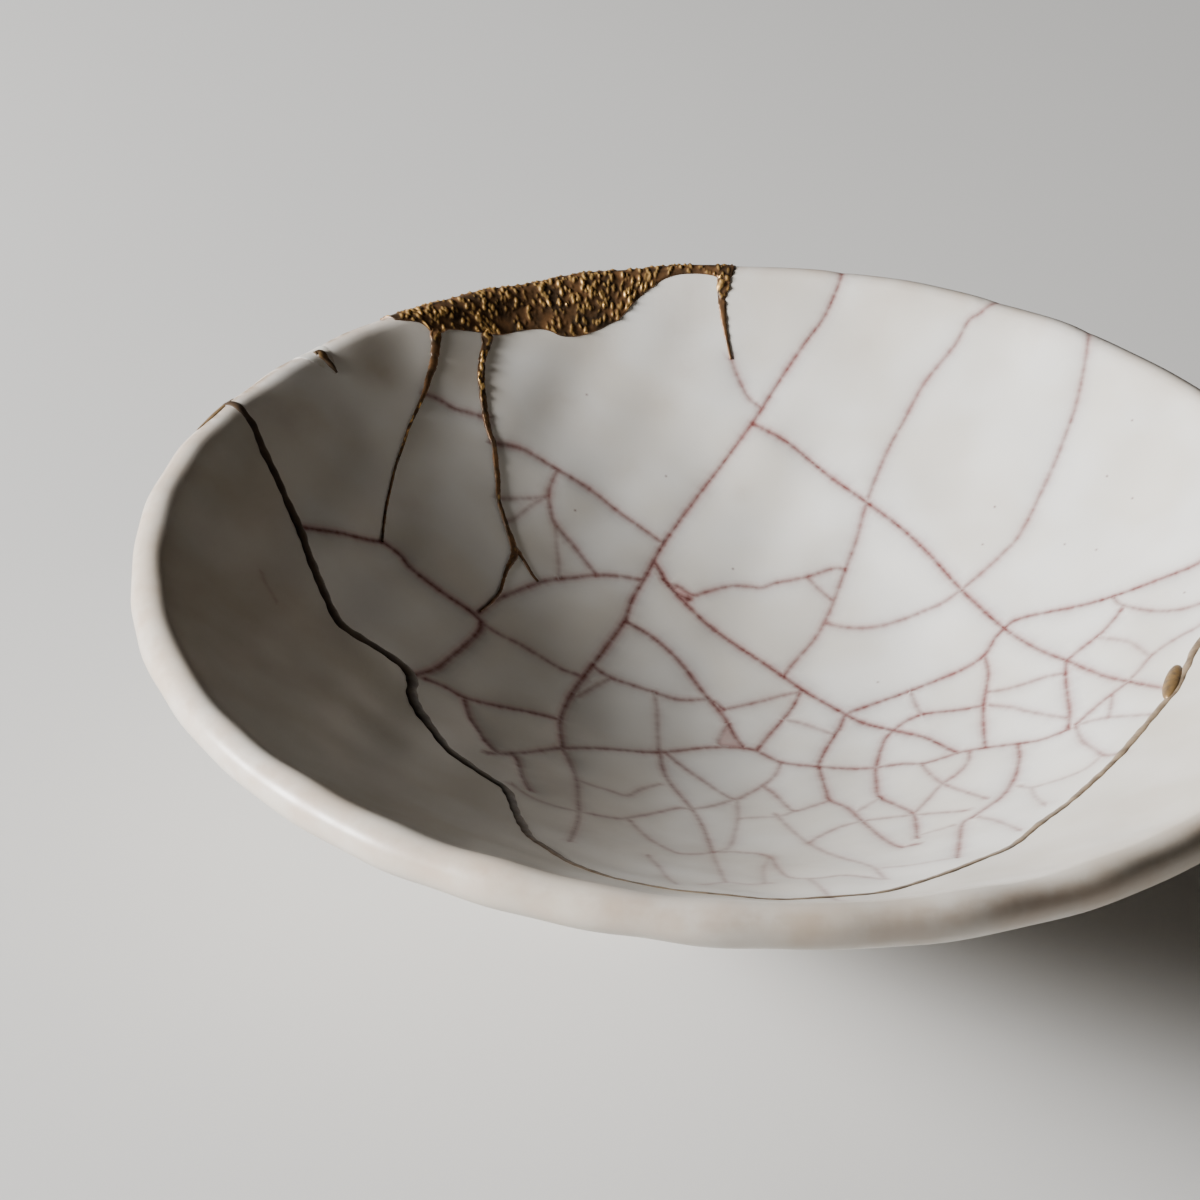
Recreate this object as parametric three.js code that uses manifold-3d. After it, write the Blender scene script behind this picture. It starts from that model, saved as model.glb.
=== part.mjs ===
// Kintsugi bowl: a shallow glazed stoneware bowl that broke in two and was mended with lacquer.
// Millimetres, +Z up. The origin is on the table, at the centre of the foot ring. The lost part
// of the rim, filled with gold lacquer, is on the far side (+Y), and the sherd that broke off
// is the near side (-Y). Angles go round the axis from +X towards +Y, in degrees.

import * as THREE from "three";
import { mergeVertices } from "three/addons/utils/BufferGeometryUtils.js";
import Module from "manifold-3d";

const wasm = await Module();
wasm.setup();

// Driving dimensions of the bowl
const rimDiameter = 120;
const insideDepth = 25;
const lipThickness = 4;
const floorThickness = 5;
const recessHeight = 2.6;
const footDiameter = 41;
const footRingWidth = 4;
const footEdgeRadius = 0.9;
const footFillet = 1.2;
const rimWaveHeight = 0.25;

// Driving dimensions of the lacquer
const fitGap = 0.3;
const fillProud = 0.3;
const seamProud = 0.15;
const seamWidth = 0.6;
const runWidth = 1.7;

// The height of the wall grows as this power of the radius: a flat floor and a steep rim
const bowlCurve = 1.85;

// Facets
const turnSegments = 60;
const wallSteps = 10;
const lipSteps = 5;
const edgeSteps = 2;
const seamSteps = 60;
const chipSteps = 26;
const smallChipSteps = 6;
const runSteps = 12;

// Where the repairs lie, as [angle, share of the wall from the axis to the lip]
const seamPath = [
  [158.4, 1.12], [158.9, 1.02], [159.6, 0.979], [162, 0.936], [164.3, 0.888], [167.9, 0.833],
  [171.3, 0.802], [175.2, 0.769], [178.6, 0.741], [181.9, 0.712], [183.1, 0.672],
  [184.4, 0.614], [187.2, 0.59], [194.1, 0.593], [203.7, 0.579], [208.8, 0.571],
  [212.6, 0.552], [218, 0.537], [223.5, 0.535], [233.1, 0.596], [241.3, 0.67], [247.7, 0.722],
  [254.7, 0.779], [262, 0.826], [272, 0.84], [282, 0.825], [291, 0.794], [297.8, 0.763],
  [306.1, 0.733], [316.1, 0.702], [325.8, 0.693], [335.3, 0.706], [344.4, 0.732],
  [349.4, 0.757], [354, 0.772], [358.9, 0.8], [366.1, 0.906], [371.3, 1.04], [373.6, 1.12],
];
const chipPath = [
  [91.8, 1.04], [92.9, 1.01], [94.6, 1.001], [97.4, 1.005], [99.6, 1.002], [101.8, 0.99],
  [104.3, 0.969], [105.9, 0.946], [108.6, 0.925], [111.5, 0.914], [114.1, 0.911],
  [115.9, 0.921], [117.4, 0.932], [120.1, 0.939], [122.8, 0.943], [125.3, 0.95],
  [128.5, 0.967], [131.7, 0.989], [134.1, 1.009], [136.2, 1.04],
];
const smallChipPath = [[143, 1.04], [143.9, 1], [144.9, 0.975], [146.2, 1], [147.4, 1.04]];

// The three runs of lacquer below the lost chip, as [angle, share, part of runWidth]
const runPaths = [
  [
    [129.6, 1, 1], [131.2, 0.951, 0.65], [132.9, 0.924, 0.5], [135.6, 0.89, 0.32],
    [142.9, 0.833, 0.27], [149.4, 0.785, 0.27], [159.3, 0.721, 0.27],
  ],
  [
    [123.6, 0.97, 0.8], [126.2, 0.908, 0.55], [127.8, 0.877, 0.47], [129.2, 0.824, 0.44],
    [130.7, 0.766, 0.38], [134, 0.702, 0.35], [136.8, 0.649, 0.38], [139.6, 0.593, 0.44],
    [142.4, 0.566, 0.4], [147.8, 0.543, 0.32], [153.2, 0.527, 0.3], [158.9, 0.529, 0.27],
  ],
  [
    [94.5, 1.02, 1], [94.6, 0.952, 0.7], [94.2, 0.911, 0.42], [93.4, 0.859, 0.27],
    [92.4, 0.82, 0.27],
  ],
];

const height = recessHeight + floorThickness + insideDepth;
const lipRingRadius = (rimDiameter - lipThickness) / 2;
const lipRingZ = height - lipThickness / 2;
const floorMiddleZ = recessHeight + floorThickness / 2;
const wallRise = lipRingZ - floorMiddleZ;
const footRadius = footDiameter / 2;

// The cuts reach this far past both faces of the wall, which takes them through the foot too,
// and this far past the lip
const cutReach = recessHeight + floorThickness;
const pastLipShare = seamPath[0][1];

// The wall is laid out along its own middle line. A share of 0 is the axis and 1 is the centre
// of the rounded lip; `out` is the distance from the middle line towards the outside.
function wallSlope(share) {
  return Math.atan((wallRise * bowlCurve * share ** (bowlCurve - 1)) / lipRingRadius);
}

function halfWall(share) {
  return THREE.MathUtils.lerp(floorThickness, lipThickness, share) / 2;
}

function wallSection(share, out) {
  const slope = wallSlope(share);
  const r = lipRingRadius * share + out * Math.sin(slope);
  const z = floorMiddleZ + wallRise * share ** bowlCurve - out * Math.cos(slope);
  return new THREE.Vector2(r, z);
}

function wallPlace(angle, share, out) {
  const section = wallSection(share, out);
  const turn = THREE.MathUtils.degToRad(angle);
  return new THREE.Vector3(section.x * Math.cos(turn), section.x * Math.sin(turn), section.y);
}

// The share at which the outside of the wall is `radius` from the axis
function shareOutside(radius) {
  let low = 0;
  let high = 1;
  for (let step = 0; step < 40; step += 1) {
    const middle = (low + high) / 2;
    if (wallSection(middle, halfWall(middle)).x < radius) low = middle;
    else high = middle;
  }
  return high;
}

// Points of an arc about a centre, without its first point
function arc(centre, radius, from, to, steps) {
  const points = [];
  for (let step = 1; step <= steps; step += 1) {
    const turn = THREE.MathUtils.lerp(from, to, step / steps);
    const spoke = new THREE.Vector2(Math.cos(turn), Math.sin(turn));
    points.push(centre.clone().addScaledVector(spoke, radius));
  }
  return points;
}

// The foot ring and the recess under the floor, from the wall inwards to the axis
function footProfile(wallEndZ) {
  const insideRadius = footRadius - footRingWidth;
  const outerEdge = new THREE.Vector2(footRadius - footEdgeRadius, footEdgeRadius);
  const innerEdge = new THREE.Vector2(insideRadius + footEdgeRadius, footEdgeRadius);
  return [
    new THREE.Vector2(footRadius, wallEndZ - footFillet),
    new THREE.Vector2(footRadius, footEdgeRadius),
    ...arc(outerEdge, footEdgeRadius, 0, -Math.PI / 2, edgeSteps),
    new THREE.Vector2(innerEdge.x, 0),
    ...arc(innerEdge, footEdgeRadius, -Math.PI / 2, -Math.PI, edgeSteps),
    new THREE.Vector2(insideRadius, recessHeight - footEdgeRadius),
    new THREE.Vector2(insideRadius - footEdgeRadius, recessHeight),
    new THREE.Vector2(0, recessHeight),
  ];
}

// The bowl as it was before it broke, with a skin of lacquer `proud` over its glazed wall
function bowlGeometry(proud) {
  const profile = [];
  for (let step = 0; step <= wallSteps; step += 1) {
    const share = step / wallSteps;
    profile.push(wallSection(share, -halfWall(share) - proud));
  }
  const lipRing = new THREE.Vector2(lipRingRadius, lipRingZ);
  const lipInside = wallSlope(1) + Math.PI / 2;
  profile.push(...arc(lipRing, lipThickness / 2 + proud, lipInside, lipInside - Math.PI, lipSteps));
  const footShare = shareOutside(footRadius + footFillet);
  for (let step = 1; step <= wallSteps; step += 1) {
    const share = THREE.MathUtils.lerp(1, footShare, step / wallSteps);
    profile.push(wallSection(share, halfWall(share) + proud));
  }
  profile.push(...footProfile(wallSection(footShare, halfWall(footShare)).y));
  const lathe = new THREE.LatheGeometry(profile.reverse(), turnSegments);
  return lathe.rotateX(Math.PI / 2);
}

// A smooth curve through [angle, share, width] points
function smoothPath(points) {
  const knots = points.map(([angle, share, width = 0]) => new THREE.Vector3(angle, share, width));
  return new THREE.CatmullRomCurve3(knots, false, "catmullrom");
}

// A box bent so that `place` sets where each of its corners lands
function bentBox(steps, place) {
  const box = new THREE.BoxGeometry(1, 2, 2, steps, 1, 1);
  const positions = box.attributes.position;
  for (let index = 0; index < positions.count; index += 1) {
    const along = positions.getX(index) + 0.5;
    const corner = place(along, positions.getY(index), positions.getZ(index));
    positions.setXYZ(index, corner.x, corner.y, corner.z);
  }
  return box;
}

// A sheet that stands square through the wall along a path. It is `wider` than the path itself,
// whose points hold their width as a part of `unit`.
function wallSheet(points, unit, wider, steps) {
  const path = smoothPath(points);
  const nudge = 0.5 / steps;
  return toSolid(bentBox(steps, (along, side, through) => {
    const [angle, share, width] = path.getPoint(along).toArray();
    const before = path.getPoint(Math.max(along - nudge, 0));
    const after = path.getPoint(Math.min(along + nudge, 1));
    const heading = wallPlace(after.x, after.y, 0).sub(wallPlace(before.x, before.y, 0));
    const normal = wallPlace(angle, share, 1).sub(wallPlace(angle, share, 0));
    const across = normal.cross(heading).normalize();
    const corner = wallPlace(angle, share, through * (halfWall(share) + cutReach));
    return corner.addScaledVector(across, (side * (width * unit + wider)) / 2);
  }));
}

// The part of the wall between an outline and the lip
function rimPatch(points, steps) {
  const path = smoothPath(points);
  return toSolid(bentBox(steps, (along, side, through) => {
    const point = path.getPoint(along);
    const share = side < 0 ? point.y : pastLipShare + fitGap / lipRingRadius;
    return wallPlace(point.x, share, through * (halfWall(1) + cutReach));
  }));
}

function toSolid(geometry) {
  geometry.deleteAttribute("normal");
  geometry.deleteAttribute("uv");
  const merged = mergeVertices(geometry);
  const index = merged.index.array;
  const corners = [];
  for (let face = 0; face < index.length; face += 3) {
    const [a, b, c] = index.slice(face, face + 3);
    if (a !== b && b !== c && c !== a) corners.push(a, b, c);
  }
  const vertProperties = merged.attributes.position.array;
  const triVerts = new Uint32Array(corners);
  return new wasm.Manifold(new wasm.Mesh({ numProp: 3, vertProperties, triVerts }));
}

// The bowl was thrown by hand: above the foot its wall waves a little, most of all at the lip
function waveWall(positions) {
  for (let index = 0; index < positions.count; index += 1) {
    const x = positions.getX(index);
    const y = positions.getY(index);
    const pastFoot = Math.max(Math.hypot(x, y) - footRadius, 0) / (lipRingRadius - footRadius);
    const wave = rimWaveHeight * pastFoot ** 2;
    const turn = Math.atan2(y, x);
    const stretch = 1 + (wave * Math.cos(2 * turn + 0.6)) / lipRingRadius;
    const rise = wave * Math.cos(4 * turn + 1.1);
    positions.setXYZ(index, x * stretch, y * stretch, positions.getZ(index) + rise);
  }
}

const group = new THREE.Group();

function addPiece(name, solid, finish) {
  const { vertProperties, triVerts } = solid.getMesh();
  const geometry = new THREE.BufferGeometry();
  geometry.setAttribute("position", new THREE.BufferAttribute(vertProperties, 3));
  geometry.setIndex(new THREE.BufferAttribute(triVerts, 1));
  waveWall(geometry.attributes.position);
  geometry.computeVertexNormals();
  const mesh = new THREE.Mesh(geometry, new THREE.MeshStandardMaterial(finish));
  mesh.name = name;
  group.add(mesh);
}

const glaze = { color: 0xd3d1ca, roughness: 0.35, metalness: 0 };
const gold = { color: 0xa9803c, roughness: 0.4, metalness: 0.8 };
const darkLacquer = { color: 0x3a2a1a, roughness: 0.5, metalness: 0 };

const wholeBowl = toSolid(bowlGeometry(0));
const goldSkin = toSolid(bowlGeometry(fillProud));
const seamSkin = toSolid(bowlGeometry(seamProud));

// The break: the lacquer in it, and the ceramic drawn back from the lacquer on both sides
const seamLine = seamPath.map(([angle, share]) => [angle, share, 1]);
const nearSide = rimPatch(seamPath, seamSteps);
const seamSheet = wallSheet(seamLine, seamWidth, 0, seamSteps);
const seamCut = wallSheet(seamLine, seamWidth, 2 * fitGap, seamSteps);

// The lost chips, with lacquer in them that stops short of the ceramic
const lostChip = rimPatch(chipPath, chipSteps);
const lostChipEdge = wallSheet(chipPath, 0, 2 * fitGap, chipSteps);
const smallChip = rimPatch(smallChipPath, smallChipSteps);
const smallChipEdge = wallSheet(smallChipPath, 0, 2 * fitGap, smallChipSteps);

let body = wholeBowl.subtract(nearSide).subtract(seamCut).subtract(lostChip).subtract(smallChip);
let fill = goldSkin.intersect(lostChip).subtract(lostChipEdge);
for (const run of runPaths) {
  body = body.subtract(wallSheet(run, runWidth, 2 * fitGap, runSteps));
  fill = fill.add(goldSkin.intersect(wallSheet(run, runWidth, 0, runSteps)));
}

addPiece("bowl_body", body, glaze);
addPiece("front_sherd", wholeBowl.intersect(nearSide).subtract(seamCut), glaze);
addPiece("seam_lacquer", seamSkin.intersect(seamSheet), darkLacquer);
addPiece("rim_fill", fill, gold);
addPiece("chip_dab", goldSkin.intersect(smallChip).subtract(smallChipEdge), gold);

export default group;
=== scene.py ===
import math
import bmesh
import bpy
import numpy as np
from mathutils import Matrix, Vector, kdtree
from mathutils.geometry import delaunay_2d_cdt


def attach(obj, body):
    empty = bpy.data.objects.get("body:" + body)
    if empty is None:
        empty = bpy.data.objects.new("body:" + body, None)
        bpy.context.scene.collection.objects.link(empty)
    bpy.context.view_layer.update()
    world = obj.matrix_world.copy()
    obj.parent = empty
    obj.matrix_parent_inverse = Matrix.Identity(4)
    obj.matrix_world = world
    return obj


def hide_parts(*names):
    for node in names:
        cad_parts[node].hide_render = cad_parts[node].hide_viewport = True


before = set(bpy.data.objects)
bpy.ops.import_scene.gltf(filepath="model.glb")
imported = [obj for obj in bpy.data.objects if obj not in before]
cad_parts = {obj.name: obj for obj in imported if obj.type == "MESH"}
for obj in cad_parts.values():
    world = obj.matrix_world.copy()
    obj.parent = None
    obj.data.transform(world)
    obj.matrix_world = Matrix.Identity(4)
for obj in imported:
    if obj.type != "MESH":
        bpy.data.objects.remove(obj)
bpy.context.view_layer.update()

# The viewpoint: the bowl is seen from a little above its rim, from the side of the sherd
# that broke off. Lengths in this file are in millimetres; MM turns them into metres.
MM = 0.001
INSIDE_DEPTH = 25.0
FLOOR_THICKNESS = 5.0
RECESS_HEIGHT = 2.6
LIP_THICKNESS = 4.0
RIM_DIAMETER = 120.0
LIP_RADIUS = LIP_THICKNESS / 2
LIP_RING_RADIUS = RIM_DIAMETER / 2 - LIP_RADIUS
LIP_RING_Z = RECESS_HEIGHT + FLOOR_THICKNESS + INSIDE_DEPTH - LIP_RADIUS
PHOTO_SIDE = 1200.0
FOCAL_PIXELS = 3000.0
SENSOR_WIDTH = 36.0
VIEW_DISTANCE = 295.7
VIEW_ELEVATION = math.radians(32.08)
VIEW_ROLL = math.radians(-2.75)
LIP_CENTRE_PIXEL = (744.9, 545.4)


def view_axes():
    """The eye, and the directions forward, right and up from it."""
    back = Vector((0, -math.cos(VIEW_ELEVATION), math.sin(VIEW_ELEVATION)))
    forward = -back
    right = Vector((1, 0, 0))
    up = right.cross(forward)
    pan = math.atan((LIP_CENTRE_PIXEL[0] - PHOTO_SIDE / 2) / FOCAL_PIXELS)
    tilt = math.atan((LIP_CENTRE_PIXEL[1] - PHOTO_SIDE / 2) / FOCAL_PIXELS)
    turn = Matrix.Rotation(pan, 3, up)
    forward = turn @ forward
    right = turn @ right
    forward = Matrix.Rotation(tilt, 3, right) @ forward
    up = right.cross(forward)
    roll = Matrix.Rotation(VIEW_ROLL, 3, forward)
    eye = back * VIEW_DISTANCE + Vector((0, 0, LIP_RING_Z))
    return eye, forward, roll @ right, roll @ up


EYE, FORWARD, RIGHT, UP = view_axes()
camera = bpy.data.objects.new("camera", bpy.data.cameras.new("camera"))
camera.data.sensor_width = SENSOR_WIDTH
camera.data.lens = SENSOR_WIDTH * FOCAL_PIXELS / PHOTO_SIDE
camera.data.clip_start = 0.01
camera_turn = Matrix((RIGHT, UP, -FORWARD)).transposed()
camera.matrix_world = Matrix.Translation(EYE * MM) @ camera_turn.to_4x4()
bpy.context.scene.collection.objects.link(camera)
bpy.context.scene.camera = camera


# The wall of the bowl: hand-thrown stoneware, thicker at the floor than at the round lip.
# A share of 0 is the axis and 1 the middle of the lip. A length runs over the glaze from the
# middle of the floor, up the inside, round the lip and down the outside to the axis again.
BOWL_CURVE = 1.85
FLOOR_MIDDLE_Z = RECESS_HEIGHT + FLOOR_THICKNESS / 2
WALL_RISE = LIP_RING_Z - FLOOR_MIDDLE_Z
SHARES = np.linspace(0, 1, 401)
LUMP_HEIGHT = 0.03
LUMP_SIZES = (7.0, 9.0, 12.0, 16.0, 23.0)
LUMPS_PER_SIZE = 3
LUMPS_FROM_Z = 6.75
LUMPS_FADE = 0.6
FOOT_RADIUS = 20.5
RIM_WAVE = 0.25
OVAL_TURN = 0.6
RISE_TURN = 1.1
SIGHT_LENGTHS = np.linspace(200, 400, 2001)
SECTION_ROWS = 1500


def wall_slope(share):
    return np.arctan(WALL_RISE * BOWL_CURVE * np.abs(share) ** (BOWL_CURVE - 1) / LIP_RING_RADIUS)


def half_wall(share):
    return (FLOOR_THICKNESS + (LIP_THICKNESS - FLOOR_THICKNESS) * share) / 2


def wall_section(share, out):
    """The distance from the axis and the height, `out` from the middle of the wall."""
    slope = wall_slope(share)
    radius = LIP_RING_RADIUS * share + out * np.sin(slope)
    height = FLOOR_MIDDLE_Z + WALL_RISE * np.abs(share) ** BOWL_CURVE - out * np.cos(slope)
    return radius, height


def round_axis(angle, radius, height):
    turn = np.radians(angle)
    return np.stack([radius * np.cos(turn), radius * np.sin(turn), height + 0 * turn], axis=-1)


def surface_length(side):
    radius, height = wall_section(SHARES, side * half_wall(SHARES))
    return np.concatenate([[0], np.cumsum(np.hypot(np.diff(radius), np.diff(height)))])


INSIDE_LENGTH = surface_length(-1)
OUTSIDE_LENGTH = surface_length(1)
LIP_START = INSIDE_LENGTH[-1]
LIP_TOP = LIP_START + math.pi / 2 * LIP_RADIUS
LIP_END = LIP_START + math.pi * LIP_RADIUS
FULL_LENGTH = LIP_END + OUTSIDE_LENGTH[-1]
LENGTH_PER_SHARE = (INSIDE_LENGTH[-1] - INSIDE_LENGTH[-2]) / SHARES[1]


def true_skin(angle, length, proud):
    """A place on the bowl's true curve, or standing proud of it."""
    inside = length < LIP_END
    share = np.where(inside, np.interp(length, INSIDE_LENGTH, SHARES),
                     np.interp(FULL_LENGTH - length, OUTSIDE_LENGTH, SHARES))
    side = np.where(inside, -1.0, 1.0)
    radius, height = wall_section(share, side * (half_wall(share) + proud))
    turn = wall_slope(1.0) + math.pi / 2 - (length - LIP_START) / LIP_RADIUS
    on_lip = (length > LIP_START) & (length < LIP_END)
    radius = np.where(on_lip, LIP_RING_RADIUS + (LIP_RADIUS + proud) * np.cos(turn), radius)
    height = np.where(on_lip, LIP_RING_Z + (LIP_RADIUS + proud) * np.sin(turn), height)
    return round_axis(angle, radius, height)


def lumps(places):
    """How far the glaze stands above the true curve, as fingers and brush left it."""
    rng = np.random.default_rng(11)
    total = np.zeros(places.shape[:-1])
    for size in LUMP_SIZES:
        for _ in range(LUMPS_PER_SIZE):
            direction = rng.normal(size=3)
            direction = direction / np.linalg.norm(direction) * 2 * math.pi / size
            total = total + np.sin(places @ direction + rng.uniform(0, 2 * math.pi))
    fade = np.clip((places[..., 2] - LUMPS_FROM_Z) / LUMPS_FADE, 0, 1)
    return total * LUMP_HEIGHT * fade


def skin(angle, length, proud=0.0):
    """A place on the lumpy glaze, or standing proud of it."""
    angle, length, proud = np.broadcast_arrays(np.asarray(angle, float), length, proud)
    return true_skin(angle, length, proud + lumps(true_skin(angle, length, 0.0)))


def waved(places):
    """The rim was pulled a little out of round as it dried, and all of the lacquer follows."""
    radius = np.hypot(places[:, 0], places[:, 1])
    turn = np.arctan2(places[:, 1], places[:, 0])
    past_foot = np.maximum(radius - FOOT_RADIUS, 0) / (LIP_RING_RADIUS - FOOT_RADIUS)
    wave = RIM_WAVE * past_foot ** 2
    grow = 1 + wave * np.cos(2 * turn + OVAL_TURN) / LIP_RING_RADIUS
    rise = wave * np.cos(4 * turn + RISE_TURN)
    return np.stack([places[:, 0] * grow, places[:, 1] * grow, places[:, 2] + rise], axis=-1)


def round_lip(share):
    """How far round the lip a share past 1 is, to its top at most."""
    past = np.clip((share - 1) * LENGTH_PER_SHARE / LIP_RADIUS, 0, 1)
    return LIP_RADIUS * np.arcsin(past)


def share_at(length):
    """The share of a length on the inside or on the near half of the lip."""
    past = np.clip((length - LIP_START) / LIP_RADIUS, 0, math.pi / 2)
    return np.interp(length, INSIDE_LENGTH, SHARES) + LIP_RADIUS * np.sin(past) / LENGTH_PER_SHARE


def inside_length(share):
    return np.interp(share, SHARES, INSIDE_LENGTH) + round_lip(share)


def outside_length(share):
    return FULL_LENGTH - np.interp(share, SHARES, OUTSIDE_LENGTH) - round_lip(share)


def flat(angle, length):
    """The surface laid out flat round the axis."""
    turn = np.radians(angle)
    return np.stack([length * np.cos(turn), length * np.sin(turn)], axis=-1)


def unflat(points):
    angle = np.degrees(np.arctan2(points[..., 1], points[..., 0])) % 360
    return angle, np.hypot(points[..., 0], points[..., 1])


def seen_on_glaze(pixels):
    """Where the sight lines of these photo pixels meet the inside or the lip, laid out flat."""
    to_rim_edge = LIP_START + LIP_RADIUS * (wall_slope(1.0) + math.pi / 2)
    length = np.linspace(0, to_rim_edge, SECTION_ROWS)
    section = true_skin(0.0 * length, length, 0.0)
    spots = []
    for x, y in pixels:
        aim = FORWARD + RIGHT * ((x - PHOTO_SIDE / 2) / FOCAL_PIXELS)
        aim = np.array((aim - UP * ((y - PHOTO_SIDE / 2) / FOCAL_PIXELS)).normalized())
        line = np.array(EYE) + SIGHT_LENGTHS[:, None] * aim
        line = line - (waved(line) - line)
        apart = np.hypot(line[:, 0], line[:, 1])
        above = line[:, 2] - np.interp(apart, section[:, 0], section[:, 2])
        past = apart > section[-1, 0]
        under = np.nonzero((above <= 0) & ~past)[0]
        closest = np.argmin(np.abs(above) + 100 * past)
        step = under[0] if len(under) else closest
        angle = math.degrees(math.atan2(line[step, 1], line[step, 0]))
        spots.append(flat(angle, np.interp(apart[step], section[:, 0], length)))
    return np.array(spots)


def smooth(points, spacing):
    """A curve through the points, with places on it about this far apart."""
    points = np.asarray(points, float)
    ends = [2 * points[0] - points[1], *points, 2 * points[-1] - points[-2]]
    curve = [points[0]]
    for before, start, end, after in zip(ends[:-3], ends[1:-2], ends[2:-1], ends[3:]):
        count = max(int(round(np.linalg.norm(end[:2] - start[:2]) / spacing)), 1)
        for step in range(1, count + 1):
            t = step / count
            bend = (2 * before - 5 * start + 4 * end - after) * t * t
            bend = bend + (3 * start - before - 3 * end + after) * t ** 3
            curve.append(start + 0.5 * ((end - before) * t + bend))
    return np.array(curve)


# The crackle: the glaze crazed as it cooled, and tea has since stained its cracks a dull
# purple. Each is a line of photo pixels and how dark it is, coarse up the far wall and fine
# on the floor of the bowl. The sherd at the front has almost none.
FAR_WALL_CRACKS = [
    (0.80, [(843, 268), (840, 280), (832, 300), (822, 320), (811, 335), (800, 350), (776, 386),
            (752, 424), (725, 460), (695, 500), (664, 543), (646, 576), (632, 600), (625, 620),
            (605, 648), (585, 674), (570, 696), (561, 718), (561, 735), (563, 747)]),
    (0.85, [(753, 424), (780, 438), (800, 452), (840, 484), (866, 502), (900, 527), (930, 555),
            (960, 588), (990, 617), (1004, 628)]),
    (0.65, [(1001, 302), (981, 313), (969, 321), (955, 345), (925, 382), (904, 420), (885, 456),
            (868, 500), (856, 540), (845, 569), (840, 583), (830, 610), (817, 635), (795, 662),
            (783, 676)]),
    (0.60, [(1089, 332), (1087, 350), (1078, 395), (1063, 440), (1048, 477), (1026, 524),
            (1015, 542), (1004, 553), (990, 566), (960, 590), (942, 603), (920, 612),
            (900, 620), (880, 626), (860, 628), (840, 626), (825, 622)]),
    (0.85, [(655, 562), (662, 572), (668, 584), (683, 601), (700, 618), (720, 633), (744, 650),
            (783, 676), (820, 700), (846, 715), (862, 722), (893, 730), (928, 739), (956, 752)]),
    (0.90, [(664, 578), (676, 593), (690, 600)]),
    (0.65, [(668, 584), (680, 587), (693, 596), (705, 593), (730, 586), (748, 586), (762, 587),
            (776, 583), (807, 577), (833, 568), (845, 568)]),
    (0.50, [(807, 577), (818, 588), (832, 600)]),
    (0.65, [(426, 394), (440, 400), (455, 408), (470, 413), (486, 418)]),
    (0.65, [(494, 443), (520, 448), (538, 457), (558, 470), (594, 492), (624, 515),
            (664, 543)]),
    (0.55, [(557, 471), (553, 480), (549, 492), (551, 512), (556, 525), (576, 548), (597, 575)]),
    (0.35, [(549, 496), (538, 498), (520, 498), (502, 498)]),
    (0.35, [(547, 497), (535, 503), (515, 518), (508, 521)]),
    (0.30, [(556, 528), (557, 545), (559, 562), (559, 578)]),
    (0.60, [(731, 358), (736, 372), (742, 386), (749, 398), (762, 408)]),
]
LEFT_CRACKS = [
    (1.00, [(300, 526), (320, 530), (340, 534), (362, 538), (384, 541)]),
    (0.90, [(384, 541), (400, 553), (412, 568), (440, 590), (470, 610), (482, 622)]),
    (0.90, [(482, 622), (478, 632), (465, 645), (450, 657), (436, 668), (413, 674)]),
    (0.55, [(482, 623), (500, 634), (520, 643), (540, 655), (560, 667), (579, 674)]),
    (0.65, [(479, 612), (496, 600), (512, 593), (538, 583), (555, 579), (575, 577), (596, 575),
            (620, 576), (641, 579)]),
    (0.80, [(426, 678), (446, 687), (465, 697), (500, 705), (530, 712), (561, 718)]),
    (0.85, [(465, 700), (470, 716), (478, 728), (486, 740), (498, 752), (515, 757), (522, 776),
            (530, 790)]),
    (0.40, [(512, 785), (530, 797), (552, 806), (575, 812), (591, 815)]),
    (0.22, [(262, 572), (265, 582), (271, 592), (276, 601)]),
]
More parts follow.
